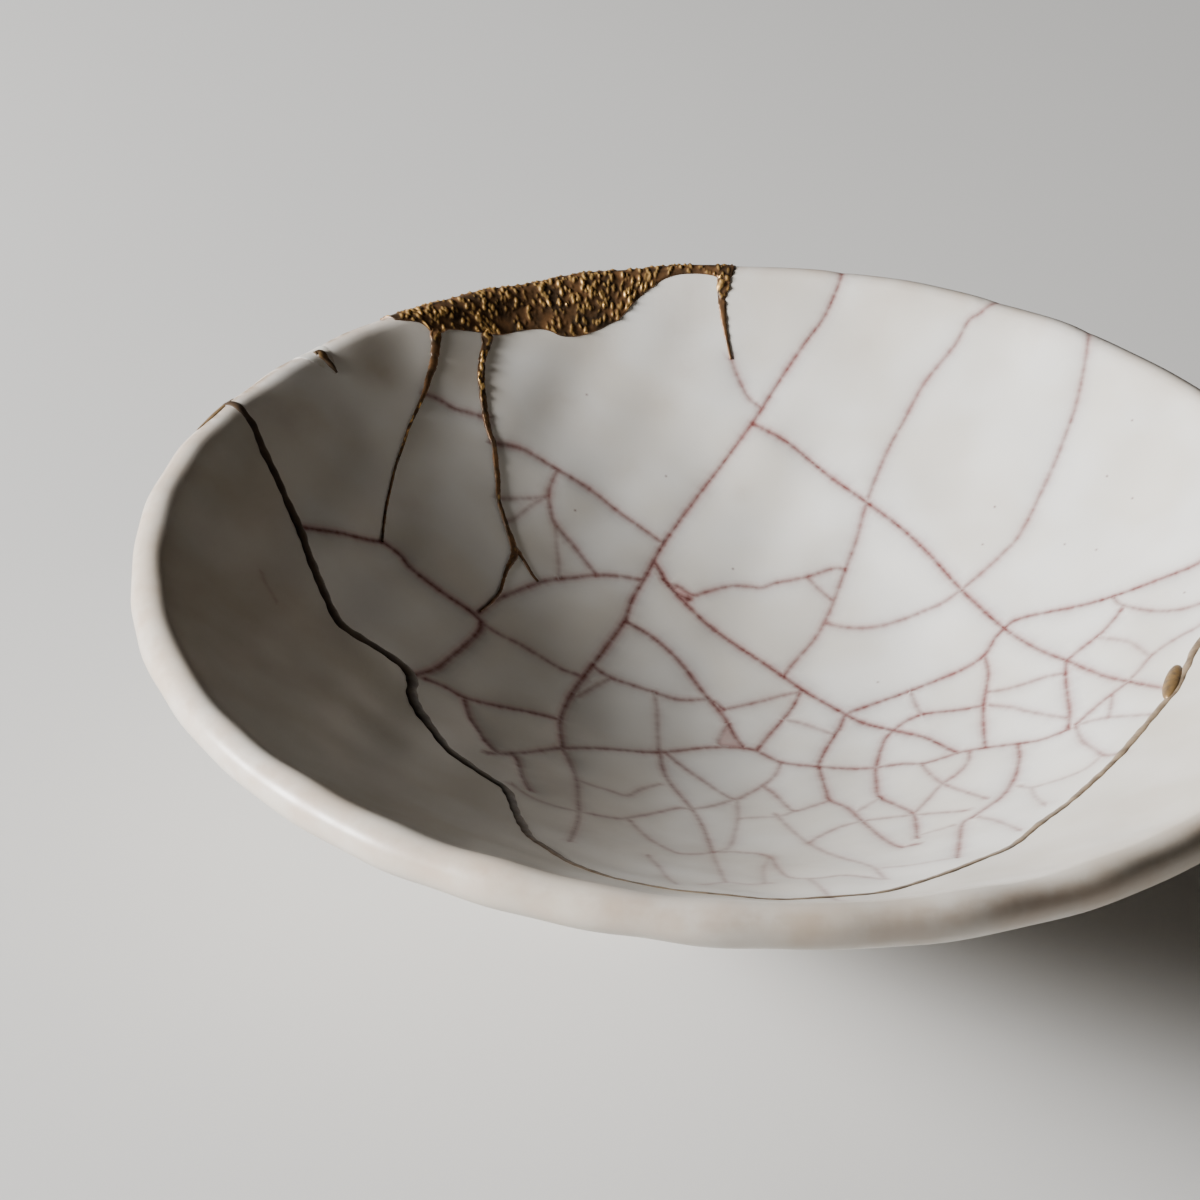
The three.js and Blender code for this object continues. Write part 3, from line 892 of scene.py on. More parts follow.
def crack_values(spots, lines):
    """The line of each crack, dark with tea, the pink that bled from it and a painted shade
    beside it:
    a soft grey, darker on one side, for the shadow the crack casts inside the thick glaze. The
    tea gathers in a knot where a crack ends on another."""
    apart, dark, away = nearest_crack(spots, lines)
    shaded = away @ np.array(SHADED_SIDE) > 0
    line = dark * np.exp(-(apart / CRACK_HALF_WIDTH) ** 2)
    pink = dark * np.exp(-(apart / PINK_WIDTH) ** 2)
    # Painted shade beside the crack, darker on its shaded side.
    painted_shade = dark * np.exp(-(apart / PAINTED_SHADE_WIDTH) ** 2) * np.where(shaded, 1.0, DIM_SIDE)
    knots = tree_of(np.array([path[end] for _, path in lines for end in (0, -1)]))
    from_knot = np.array([knots.find((x, y, 0))[2] for x, y in spots])
    knot = dark * np.exp(-(from_knot / KNOT_SIZE) ** 2)
    return line + KNOT_LINE * knot, pink + KNOT_PINK * knot, painted_shade


def in_wedge(spots, corners):
    """How far inside a small wedge of stained glaze each flat place is, from 0 to 1."""
    inside = np.full(len(spots), 9.0)
    middle = corners.mean(axis=0)
    for start, end in zip(corners, np.roll(corners, -1, axis=0)):
        across = np.array([start[1] - end[1], end[0] - start[0]]) / np.linalg.norm(end - start)
        across = across * np.sign((middle - start) @ across)
        inside = np.minimum(inside, (spots - start) @ across)
    return np.clip(0.5 + inside / WEDGE_EDGE, 0, 1)


def glaze_values(places):
    """What the glaze shader needs to know at each place."""
    share, out = wall_coordinates(places)
    length = skin_lengths(places, share, out)
    angle = np.degrees(np.arctan2(places[:, 1], places[:, 0]))
    inside = length < LIP_END
    spots = flat(angle, np.where(inside, length, FULL_LENGTH - length))
    line, pink, painted_shade = np.zeros((3, len(places)))
    for chosen, lines in ((inside, inside_cracks), (~inside, outside_cracks)):
        line[chosen], pink[chosen], painted_shade[chosen] = crack_values(spots[chosen], lines)
    speck = np.zeros(len(places))
    for spot in seen_on_glaze(PINHOLES):
        apart = np.hypot(*(spots - spot).T)
        hole = np.clip(1.3 - apart / PINHOLE_RADIUS, 0, 1)
        speck = np.maximum(speck, np.where(inside, hole, 0))
    for corners in WEDGES:
        pink = pink + WEDGE_PINK * inside * in_wedge(spots, seen_on_glaze(corners))
    # Brown patches: partly the glaze's own tint, partly painted shade on the left wall and across
    # the near floor.
    stain_and_shade = np.zeros(len(places))
    centres = seen_on_glaze([(x, y) for x, y, _, _ in STAINS_AND_SHADE])
    for spot, (_, _, size, strength) in zip(centres, STAINS_AND_SHADE):
        apart = np.hypot(*(spots - spot).T) / size
        stain_and_shade = stain_and_shade + np.where(inside, strength * np.exp(-apart ** 2), 0)
    half = np.where(share > 1, LIP_RADIUS, half_wall(share))
    depth = np.where(share > 1, np.hypot(np.hypot(places[:, 0], places[:, 1]) - LIP_RING_RADIUS,
                                         places[:, 2] - LIP_RING_Z), np.abs(out))
    near_axis = np.hypot(places[:, 0], places[:, 1]) < FOOT_RADIUS + 1
    foot = (places[:, 2] < FOOT_TOP_Z) & near_axis
    broken = (depth < half - GLAZE_THICK) & ~foot
    wiped = np.clip((WIPED_TO - places[:, 2]) / WIPED_FADE, 0, 1) * foot
    lip = np.exp(-((length - LIP_TOP) / LIP_TAN_WIDTH) ** 2)
    turn = angle % 360
    ochre = np.clip((turn - EDGE_OCHRE_FROM) / EDGE_FADE, 0, 1)
    ochre = ochre * np.clip((EDGE_OCHRE_TO - turn) / EDGE_FADE, 0, 1)
    edge = np.exp(-((length - LIP_TOP + EDGE_OCHRE_IN) / EDGE_OCHRE_WIDTH) ** 2)
    edge = edge * (EDGE_LEAST + (1 - EDGE_LEAST) * ochre)
    clear = np.where(foot | broken, 0.0, 1.0)
    return {"crack_line": np.clip(line + speck, 0, 1) * clear,
            "crack_pink": np.clip(pink, 0, 1) * clear, "crack_painted_shade": painted_shade * clear,
            "stain_and_shade": np.clip(stain_and_shade, 0, 1) * clear, "bare_clay": np.maximum(broken, wiped),
            "lip": lip * clear, "ochre_edge": edge * clear}, share, angle


def piece_from(name, places, faces, values, material, sharp=40):
    """A new object in metres, with its values for the shader, the wave and its material."""
    mesh = bpy.data.meshes.new(name)
    mesh.from_pydata((waved(places) * MM).tolist(), [], faces)
    mesh.shade_smooth()
    mesh.set_sharp_from_angle(angle=math.radians(sharp))
    for label, numbers in values.items():
        layer = mesh.attributes.new(label, "FLOAT", "POINT")
        layer.data.foreach_set("value", np.asarray(numbers, np.float32))
    mesh.materials.append(material)
    made = bpy.data.objects.new(name, mesh)
    bpy.context.scene.collection.objects.link(made)
    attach(made, "root")
    return made


def new_material(name):
    material = bpy.data.materials.new(name)
    material.use_nodes = True
    tree = material.node_tree
    return material, tree, tree.nodes["Principled BSDF"]


def attribute(tree, name):
    node = tree.nodes.new("ShaderNodeAttribute")
    node.attribute_name = name
    return node.outputs["Fac"]


def noise(tree, size, detail=3.0, stretch=(1, 1, 1)):
    """Soft noise whose features are about this many millimetres across."""
    place = tree.nodes.new("ShaderNodeTexCoord")
    scaled = tree.nodes.new("ShaderNodeMapping")
    scaled.inputs["Scale"].default_value = stretch
    texture = tree.nodes.new("ShaderNodeTexNoise")
    texture.inputs["Scale"].default_value = 1 / (size * MM)
    texture.inputs["Detail"].default_value = detail
    tree.links.new(place.outputs["Object"], scaled.inputs["Vector"])
    tree.links.new(scaled.outputs["Vector"], texture.inputs["Vector"])
    return texture.outputs["Fac"]


def ranged(tree, value, low, high, to_low=0.0, to_high=1.0):
    node = tree.nodes.new("ShaderNodeMapRange")
    node.inputs["From Min"].default_value = low
    node.inputs["From Max"].default_value = high
    node.inputs["To Min"].default_value = to_low
    node.inputs["To Max"].default_value = to_high
    tree.links.new(value, node.inputs["Value"])
    return node.outputs["Result"]


def times(tree, first, second):
    node = tree.nodes.new("ShaderNodeMath")
    node.operation = "MULTIPLY"
    tree.links.new(first, node.inputs[0])
    if isinstance(second, float):
        node.inputs[1].default_value = second
    else:
        tree.links.new(second, node.inputs[1])
    return node.outputs["Value"]


def blended(tree, factor, first, second):
    """One colour laid over another by a factor."""
    node = tree.nodes.new("ShaderNodeMix")
    node.data_type = "RGBA"
    tree.links.new(factor, node.inputs["Factor"])
    for socket, colour in ((node.inputs[6], first), (node.inputs[7], second)):
        if isinstance(colour, tuple):
            socket.default_value = (*colour, 1)
        else:
            tree.links.new(colour, socket)
    return node.outputs[2]


def bumped(tree, height, distance, strength):
    node = tree.nodes.new("ShaderNodeBump")
    node.inputs["Distance"].default_value = distance * MM
    node.inputs["Strength"].default_value = strength
    tree.links.new(height, node.inputs["Height"])
    return node.outputs["Normal"]


GLAZE_WHITE = (0.79, 0.768, 0.72)
GLAZE_CREAM = (0.70, 0.65, 0.57)
SHERD_WHITE = (0.69, 0.655, 0.59)
SHERD_CREAM = (0.58, 0.525, 0.44)
LIP_TAN = (0.50, 0.37, 0.27)
EDGE_OCHRE = (0.26, 0.155, 0.075)
CRACK_RED = (0.150, 0.045, 0.040)
CRACK_PINK = (0.50, 0.285, 0.265)
# The grey of the painted shade beside the cracks.
CRACK_SHADE_GREY = (0.40, 0.395, 0.40)
# The brown of the patches, which are partly painted shade.
STAIN_AND_SHADE_BROWN = (0.46, 0.375, 0.285)
BARE_CLAY = (0.36, 0.25, 0.17)


def glaze(name, white, cream, painted_shade_strength):
    """Milky glaze, satin where light falls on it, with tea-dark cracks and thin brown lips,
    painted shade beside the cracks and brown patches that are partly painted shade.
    """
    material, tree, surface = new_material(name)
    cloud = ranged(tree, noise(tree, 12.0, 2.0), 0.4, 0.62, 0.0, 0.7)
    colour = blended(tree, cloud, white, cream)
    patchy = noise(tree, 4.0, 3.0)
    lip = times(tree, attribute(tree, "lip"), ranged(tree, patchy, 0.35, 0.65, 0.25, 0.7))
    colour = blended(tree, lip, colour, LIP_TAN)
    broken_line = ranged(tree, noise(tree, 1.6, 3.0), 0.42, 0.58)
    edge = times(tree, attribute(tree, "ochre_edge"), broken_line)
    colour = blended(tree, edge, colour, EDGE_OCHRE)
    # Brown patches, partly painted shade, made patchy by noise; the same noise thins the painted
    # shade beside the cracks.
    smear = ranged(tree, patchy, 0.3, 0.7, 0.5, 1.1)
    colour = blended(tree, times(tree, attribute(tree, "stain_and_shade"), smear), colour, STAIN_AND_SHADE_BROWN)
    # Painted shade: a grey band beside each crack, for the shadow the crack casts inside the
    # glaze.
    painted_shade = times(tree, attribute(tree, "crack_painted_shade"), smear)
    colour = blended(tree, times(tree, painted_shade, painted_shade_strength), colour, CRACK_SHADE_GREY)
    bled = ranged(tree, patchy, 0.3, 0.7, 0.5, 0.9)
    colour = blended(tree, times(tree, attribute(tree, "crack_pink"), bled), colour, CRACK_PINK)
    fine = noise(tree, 0.5, 2.0)
    line = times(tree, attribute(tree, "crack_line"), ranged(tree, fine, 0.3, 0.7, 0.75, 1.1))
    colour = blended(tree, line, colour, CRACK_RED)
    grog = blended(tree, fine, BARE_CLAY, LIP_TAN)
    bare = attribute(tree, "bare_clay")
    colour = blended(tree, bare, colour, grog)
    tree.links.new(colour, surface.inputs["Base Color"])
    satin = ranged(tree, patchy, 0.3, 0.7, 0.28, 0.4)
    rough = tree.nodes.new("ShaderNodeMath")
    rough.operation = "MAXIMUM"
    tree.links.new(satin, rough.inputs[0])
    tree.links.new(times(tree, bare, 0.85), rough.inputs[1])
    tree.links.new(rough.outputs["Value"], surface.inputs["Roughness"])
    tree.links.new(bumped(tree, fine, 0.012, 0.5), surface.inputs["Normal"])
    return material


FILL_EDGE_SPACING = 0.4
CHIP_SPACING = 0.2
CHIP_INSET = 0.35
NOTCH_ENDS = 0.7
# How strong the painted shade beside the cracks is on the body and on the sherd.
BODY_PAINTED_SHADE = 0.65
SHERD_PAINTED_SHADE = 0.35
fill_edge = smooth(seen_on_glaze(FILL_EDGE_PIXELS), FILL_EDGE_SPACING)
fill_angle, fill_length = unflat(fill_edge)
order = np.argsort(fill_angle)
fill_angle = fill_angle[order]
fill_length = fill_length[order]
small_chip = smooth(np.array(SMALL_CHIP_PATH), CHIP_SPACING)
notched = (fill_angle > fill_angle[0] + NOTCH_ENDS) & (fill_angle < fill_angle[-1] - NOTCH_ENDS)
cut = cut_away(whole_bowl(), [
    seam_curtain(seam_path, SEAM_GAP / 2),
    rim_notch("rim_notch", fill_angle[notched], share_at(fill_length + CHIP_INSET)[notched]),
    rim_notch("small_notch", small_chip[:, 0], small_chip[:, 1])])
cut_places = np.array([tuple(corner.co) for corner in cut.vertices])
cut_faces = [tuple(face.vertices) for face in cut.polygons]
values, cut_share, cut_angle = glaze_values(cut_places)
sherd_side = on_sherd(cut_angle % 360, cut_share)


def ceramic_piece(name, chosen, material):
    new_index = np.cumsum(chosen) - 1
    faces = [[int(new_index[spot]) for spot in face] for face in cut_faces if chosen[face[0]]]
    made = piece_from(name, cut_places[chosen], faces,
                      {label: numbers[chosen] for label, numbers in values.items()}, material)
    return made


body = ceramic_piece("body_glazed", ~sherd_side,
                     glaze("crackled_glaze", GLAZE_WHITE, GLAZE_CREAM, BODY_PAINTED_SHADE))
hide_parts("bowl_body")
sherd = ceramic_piece("sherd_glazed", sherd_side,
                      glaze("plain_glaze", SHERD_WHITE, SHERD_CREAM, SHERD_PAINTED_SHADE))
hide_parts("front_sherd")


# The glue line: a thin sheet of dark lacquer between the body and the sherd, from rim to rim,
# squeezed out as a low bead on both sides of the wall. It carries a drop of gold lacquer near
# its right end, and a gold-brown smear where it meets the left rim.
BEAD_WIDTH = 1.0
BEAD_HEIGHT = 0.13
BEAD_STEP = 0.32
LINE_POINTS = 4000
LIP_TURN_POINTS = 12
BEAD_SHAPE = [(-1.0, -0.5), (-0.88, 0.3), (-0.5, 0.82), (0.0, 1.0), (0.5, 0.82), (0.88, 0.3),
              (1.0, -0.5)]
DROP_PIXELS = [(1176, 668), (1168, 697)]
DROP_WIDTH = 1.9
DROP_HEIGHT = 0.55
DROP_GILDING = 0.8
DROP_RISE = (-0.35, 1.45)
DROP_ROWS = 9
DROP_POINTS = 32
SMEAR_ANGLES = (164.0, 157.4)
SMEAR_PAST_MIDDLE = -0.1
SMEAR_WIDTH = 1.6
SMEAR_HEIGHT = 0.12
SMEAR_GILDING = 0.6
WIDE_BEAD_ANGLE = 197.0
WIDE_BEAD_SPREAD = 24.0
WIDE_BEAD_MORE = 0.4
# Painted light: over these angles the seam's lacquer turns from dark brown to a lighter ochre,
# for its right part on the lit side of the bowl; its left part lies in shade.
LIT_OCHRE_FROM = 225.0
LIT_OCHRE_TO = 262.0


def steps_along(angle, length, spacing):
    """Places along a line over the glaze, this far apart."""
    places = skin(angle, length)
    run = np.concatenate([[0], np.cumsum(np.linalg.norm(np.diff(places, axis=0), axis=1))])
    wanted = np.linspace(0, run[-1], int(run[-1] / spacing) + 2)
    return np.interp(wanted, run, angle), np.interp(wanted, run, length), wanted


def bead(angle, length, half_width, height, shape=BEAD_SHAPE):
    """Loops of places across a ridge that follows a line over the glaze."""
    middle = skin(angle, length)
    up = skin(angle, length, 1.0) - middle
    along = np.gradient(middle, axis=0)
    across = np.cross(along, up)
    across = across / (np.linalg.norm(across, axis=1, keepdims=True) + 1e-9)
    return np.stack([middle + across * (w * half_width)[:, None] + up * (h * height)[:, None]
                     for w, h in shape], axis=1)


def drop(start, end, width, height):
    """A low rounded drop of lacquer from start to end, laid out flat, on the glaze."""
    half = (end - start) / 2
    reach = np.linalg.norm(half) + width / 4
    along = half / np.linalg.norm(half)
    across = np.array([-along[1], along[0]])
    turn = np.arange(DROP_POINTS) * 2 * math.pi / DROP_POINTS
    loops = []
    for rise in np.linspace(*DROP_RISE, DROP_ROWS):
        size = math.cos(max(rise, 0.0))
        spots = (start + end) / 2 + size * (reach * np.cos(turn)[:, None] * along
                                            + width / 2 * np.sin(turn)[:, None] * across)
        loops.append(skin(*unflat(spots), height * math.sin(rise)))
    return closed_form(np.array(loops))


def seam_line():
    """The lacquer through the wall, with a bead inside, round the lip and outside."""
    reach = LIP_RADIUS / LENGTH_PER_SHARE
    kept = seam_path[:, 1] < 1 + reach
    angle, share = seam_path[kept].T
    fine = np.linspace(0, 1, LINE_POINTS)
    place = np.linspace(0, 1, len(angle))
    angle, share = np.interp(fine, place, angle), np.interp(fine, place, share)
    lip_angle = [np.interp(1 + reach, seam_path[:3, 1][::-1], seam_path[:3, 0][::-1]),
                 np.interp(1 + reach, seam_path[-3:, 1], seam_path[-3:, 0])]
    round_top = np.sin(np.linspace(0, math.pi / 2, LIP_TURN_POINTS)) * reach + 1
    over_wall = np.stack([angle, share], axis=-1)[share < 1]
    ends = [np.stack([np.interp(round_top, [1, 1 + reach], [wall_angle, top_angle]), round_top],
                     axis=-1)
            for wall_angle, top_angle in zip(over_wall[[0, -1], 0], lip_angle)]
    line = np.concatenate([ends[0][::-1], over_wall, ends[1]])
    angle, length, run = steps_along(line[:, 0], inside_length(line[:, 1]), BEAD_STEP)
    share = share_at(length)
    uneven = 1 + 0.13 * np.sin(run * 1.3) * np.sin(run * 0.47 + 1) + 0.08 * np.sin(run * 3.1)
    wide = 1 + WIDE_BEAD_MORE * np.exp(-((angle - WIDE_BEAD_ANGLE) / WIDE_BEAD_SPREAD) ** 2)
    half = BEAD_WIDTH / 2 * uneven * wide
    inner = bead(angle, length, half, BEAD_HEIGHT * uneven)
    outer = bead(angle, outside_length(share), half, BEAD_HEIGHT * uneven)
    return closed_form(np.concatenate([inner, outer], axis=1))


drop_ends = seen_on_glaze(DROP_PIXELS)
smear_ends = [flat(turn, LIP_TOP + SMEAR_PAST_MIDDLE) for turn in SMEAR_ANGLES]
seam_parts = [seam_line(), drop(*drop_ends, DROP_WIDTH, DROP_HEIGHT),
              drop(*smear_ends, SMEAR_WIDTH, SMEAR_HEIGHT)]
gilding = [np.full(len(part[0]), gilt) for part, gilt in
           zip(seam_parts, (0.0, DROP_GILDING, SMEAR_GILDING))]
LACQUER_BROWN = (0.042, 0.026, 0.017)
LACQUER_UMBER = (0.085, 0.055, 0.034)
# The lighter ochre is painted light, for the lit right part of the seam.
LACQUER_LIT_OCHRE = (0.24, 0.175, 0.115)
LACQUER_GILT = (0.30, 0.185, 0.075)


def dark_lacquer():
    """Dark lacquer, painted a lighter ochre toward its right, where the light falls on the seam,
    with gold dust worked in where it was built up.
    """
    material, tree, surface = new_material("dark_lacquer")
    mottled = ranged(tree, noise(tree, 2.5, 4.0), 0.4, 0.65)
    colour = blended(tree, mottled, LACQUER_BROWN, LACQUER_UMBER)
    lit_ochre_patches = ranged(tree, noise(tree, 1.4, 4.0), 0.35, 0.6, 0.35, 1.0)
    colour = blended(tree, times(tree, attribute(tree, "lit_ochre"), lit_ochre_patches), colour, LACQUER_LIT_OCHRE)
    dust = times(tree, attribute(tree, "gilding"), ranged(tree, noise(tree, 0.9), 0.3, 0.6))
    colour = blended(tree, dust, colour, LACQUER_GILT)
    tree.links.new(colour, surface.inputs["Base Color"])
    tree.links.new(times(tree, dust, 0.6), surface.inputs["Metallic"])
    rough = ranged(tree, noise(tree, 0.8), 0.3, 0.7, 0.3, 0.5)
    tree.links.new(rough, surface.inputs["Roughness"])
    tree.links.new(bumped(tree, noise(tree, 0.5, 2.0), 0.03, 0.5), surface.inputs["Normal"])
    return material


places, faces = joined(seam_parts)
gilding = np.concatenate(gilding)
seam_turn = np.degrees(np.arctan2(places[:, 1], places[:, 0])) % 360
seam_turn = np.where(seam_turn < 90, seam_turn + 360, seam_turn)
# Painted light: the lighter ochre on the seam's lit right part.
lit_ochre = np.clip((seam_turn - LIT_OCHRE_FROM) / (LIT_OCHRE_TO - LIT_OCHRE_FROM), 0, 1) * (gilding == 0)
seam = piece_from("seam_lacquered", places, faces, {"gilding": gilding, "lit_ochre": lit_ochre},
                  dark_lacquer(), 60)
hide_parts("seam_lacquer")


# The gold fill: lacquer built up in the lost chip and dusted with gold, wrinkled as it dried,
# with three runs that went down hairlines below it. It is one piece with its runs.
FILL_STEP = 0.125
FILL_PROUD = 0.132
FILL_SUNK = 0.06
FILL_BACK = 0.5
FILL_ROUNDING = 0.45
TAPER_COLUMNS = 5
WRINKLE_HEIGHT = 0.27
WRINKLE_LENGTH = 0.44
WRINKLE_WIDTH = 0.18
WRINKLE_GAP = 0.54
WRINKLE_CROWDING = 1.5
WRINKLE_SIZES = (0.6, 1.3)
WRINKLE_STRENGTHS = (0.35, 1.0)
WRINKLE_REACH = 1.8
LEAN_SPREAD = 0.25
LEAST_ROW = 0.02
SMOOTH_OUTSIDE = (0.7, 1.2, 0.3)
LEAN_AT_RIGHT_END = 0.12
LEAN_AT_LEFT_END = -0.35
CALM_PIXELS = [(505, 318), (540, 319), (566, 320), (590, 317), (530, 296)]
CALM_SIZE = (1.2, 1.3, 1.1, 0.9, 0.9)
CALM_DEPTH = 0.88
RUN_A = [(435, 330, 0.8, 1.0), (435, 336, 1.3, 0.9), (435, 346, 1.1, 0.2), (433, 365, 0.9, 0.08),
         (428, 380, 0.75, 0.08), (425, 392, 0.55, 0.15), (416, 412, 0.38, 0.55),
         (408, 430, 0.34, 0.5), (402, 448, 0.32, 0.4), (396, 465, 0.3, 0.35),
         (390, 490, 0.3, 0.2), (386, 510, 0.3, 0.1), (383, 541, 0.26, 0.0)]
RUN_B = [(488, 332, 0.8, 1.0), (487, 338, 1.4, 1.0), (486, 346, 1.05, 0.9), (482, 360, 0.85, 1.0),
         (481, 380, 0.8, 1.0), (483, 400, 0.75, 0.6), (486, 420, 0.7, 0.3),
         (490, 435, 0.6, 0.2), (494, 445, 0.6, 0.3), (496, 465, 0.6, 0.35),
         (498, 480, 0.6, 0.2), (499, 500, 0.5, 0.3), (503, 515, 0.5, 0.3),
         (508, 530, 0.55, 0.3), (513, 545, 0.75, 0.25), (514, 556, 0.85, 0.3),
         (507, 570, 0.5, 0.15), (503, 582, 0.38, 0.1), (500, 592, 0.36, 0.1),
         (492, 602, 0.34, 0.1), (480, 612, 0.26, 0.0)]
RUN_B_SIDE = [(512, 545, 0.5, 0.2), (518, 552, 0.45, 0.2), (525, 563, 0.36, 0.1),
              (532, 575, 0.3, 0.1), (538, 582, 0.24, 0.0)]
RUN_C = [(724, 275, 0.7, 1.0), (724, 279, 1.6, 1.0), (723, 286, 1.5, 1.0), (722, 296, 1.1, 0.8),
         (722, 304, 0.95, 0.4), (723, 315, 0.8, 0.12), (725, 330, 0.55, 0.05),
         (728, 345, 0.42, 0.05), (731, 359, 0.28, 0.0)]
RUN_STEP = 0.16
RUN_POINTS = 13
RUN_HEIGHT = (0.12, 0.16, 0.3)
RUN_ROUGHNESS = 0.1
THIN_RUN = 0.5
THIN_RUN_LEAST = 0.45
GRAIN_LIMITS = (-1.2, 1.8)
GRAIN_CREST = (0.3, 0.5)
GRAIN_HEIGHT = 0.085
GRAIN_ALONG = (0.12, 0.24, 0.28, 0.24, 0.12)
GRAIN_ACROSS = (0.25, 0.5, 0.25)
RUN_CROWN = 0.7
RUN_SUNK = -0.5


def fill_bumps(places, angle, length, rng):
    """How high each place of the fill stands, from short wrinkles that stand nearly upright
    to the eye and lean a little to the left or the right."""
    high = np.zeros(angle.shape)
    part = (angle[0, 0] - angle[:, 0]) / (angle[0, 0] - angle[-1, 0])
    column_width = math.radians(abs(angle[1, 0] - angle[0, 0])) * LIP_RING_RADIUS
    columns, rows = angle.shape
    row_widths = np.linalg.norm(np.diff(places, axis=1), axis=-1).mean(axis=1)
    calm_spots = unflat(seen_on_glaze(CALM_PIXELS))
    pixels = on_photo(places.reshape(-1, 3)).reshape(columns, rows, 2)
    per_side = np.gradient(pixels, axis=0).transpose(2, 0, 1) / column_width
    row_widths = np.maximum(row_widths, LEAST_ROW)
    per_up = np.gradient(pixels, axis=1).transpose(2, 0, 1) / row_widths[:, None]
    front = length < LIP_TOP
    front[:, 0] = True
    for column in range(columns):
        row_width = row_widths[column]
        to_pixels = np.stack([per_side[:, column, front[column]].mean(axis=1),
                              per_up[:, column, front[column]].mean(axis=1)], axis=1)
        from_pixels = np.linalg.inv(to_pixels + 0.01 * np.eye(2))
        tall = row_width * rows
        expected = column_width * tall / (WRINKLE_GAP * WRINKLE_GAP * WRINKLE_CROWDING)
        for _ in range(rng.poisson(expected)):
            row = rng.integers(0, rows)
            lean = np.interp(part[column], (0, 1), (LEAN_AT_RIGHT_END, LEAN_AT_LEFT_END))
            lean = lean + rng.normal(0, LEAN_SPREAD)
            way = from_pixels @ np.array([math.sin(lean), -math.cos(lean)])
            way = way / np.linalg.norm(way)
            size = rng.uniform(*WRINKLE_SIZES)
            strength = rng.uniform(*WRINKLE_STRENGTHS) * min(size, 1.0)
            spread = int(WRINKLE_REACH * WRINKLE_LENGTH * size / column_width) + 1
            deep = int(WRINKLE_REACH * WRINKLE_LENGTH * size / row_width) + 1
            first, last = max(column - spread, 0), min(column + spread + 1, columns)
            low, top = max(row - deep, 0), min(row + deep + 1, rows)
            side = (np.arange(first, last) - column)[:, None] * column_width
            up = (np.arange(low, top) - row)[None] * row_width
            long = side * way[0] + up * way[1]
            wide = side * way[1] - up * way[0]
            bump = strength * np.exp(-(long / (WRINKLE_LENGTH * size)) ** 2
                                     - (wide / (WRINKLE_WIDTH * size)) ** 2)
            high[first:last, low:top] = np.maximum(high[first:last, low:top], bump)
    for spot_angle, spot_length, size in zip(*calm_spots, CALM_SIZE):
        apart = np.hypot(np.radians(angle - spot_angle) * LIP_RING_RADIUS, length - spot_length)
        high = high * (1 - CALM_DEPTH * np.exp(-(apart / size) ** 2))
    past_top, fade, least = SMOOTH_OUTSIDE
    return high * np.clip((LIP_TOP + past_top - length) / fade, least, 1)


def fill_form():
    """The fill as a grid round the rim, from its inner edge over the lip to its outer edge."""
    count = int(math.radians(fill_angle[-1] - fill_angle[0]) * LIP_RING_RADIUS / FILL_STEP)
    column = np.linspace(fill_angle[0], fill_angle[-1], count)
    lower = np.minimum(np.interp(column, fill_angle, fill_length), LIP_TOP)
    share = share_at(lower)
    outer = outside_length(np.minimum(share, 1.0)) - round_lip(share)
    from_end = np.minimum(np.arange(count), np.arange(count)[::-1])
    taper = np.clip(from_end / TAPER_COLUMNS, 0, 1)
    lower = LIP_TOP + (lower - LIP_TOP) * taper
    outer = LIP_TOP + (outer - LIP_TOP) * taper
    rows = int((outer - lower).max() / FILL_STEP)
    part = np.linspace(0, 1, rows)
    length = lower[:, None] + (outer - lower)[:, None] * part
    angle = np.repeat(column[:, None], rows, axis=1)
    from_edge = np.minimum(length - lower[:, None], outer[:, None] - length)
    rounded = np.clip(from_edge / FILL_ROUNDING, 0, 1)
    rounded = np.sqrt(rounded * (2 - rounded))
    high = fill_bumps(skin(angle, length), angle, length, np.random.default_rng(8))
    high = high * rounded
    proud = -FILL_SUNK + (FILL_PROUD + FILL_SUNK) * rounded + WRINKLE_HEIGHT * high
    places = skin(angle, length, proud)
    back = np.stack([skin(column, outer, -FILL_BACK), skin(column, lower, -FILL_BACK)], axis=1)
    loops = np.concatenate([places, back], axis=1)
    values = np.concatenate([high, np.zeros((count, 2))], axis=1).ravel()
    return closed_form(loops), values


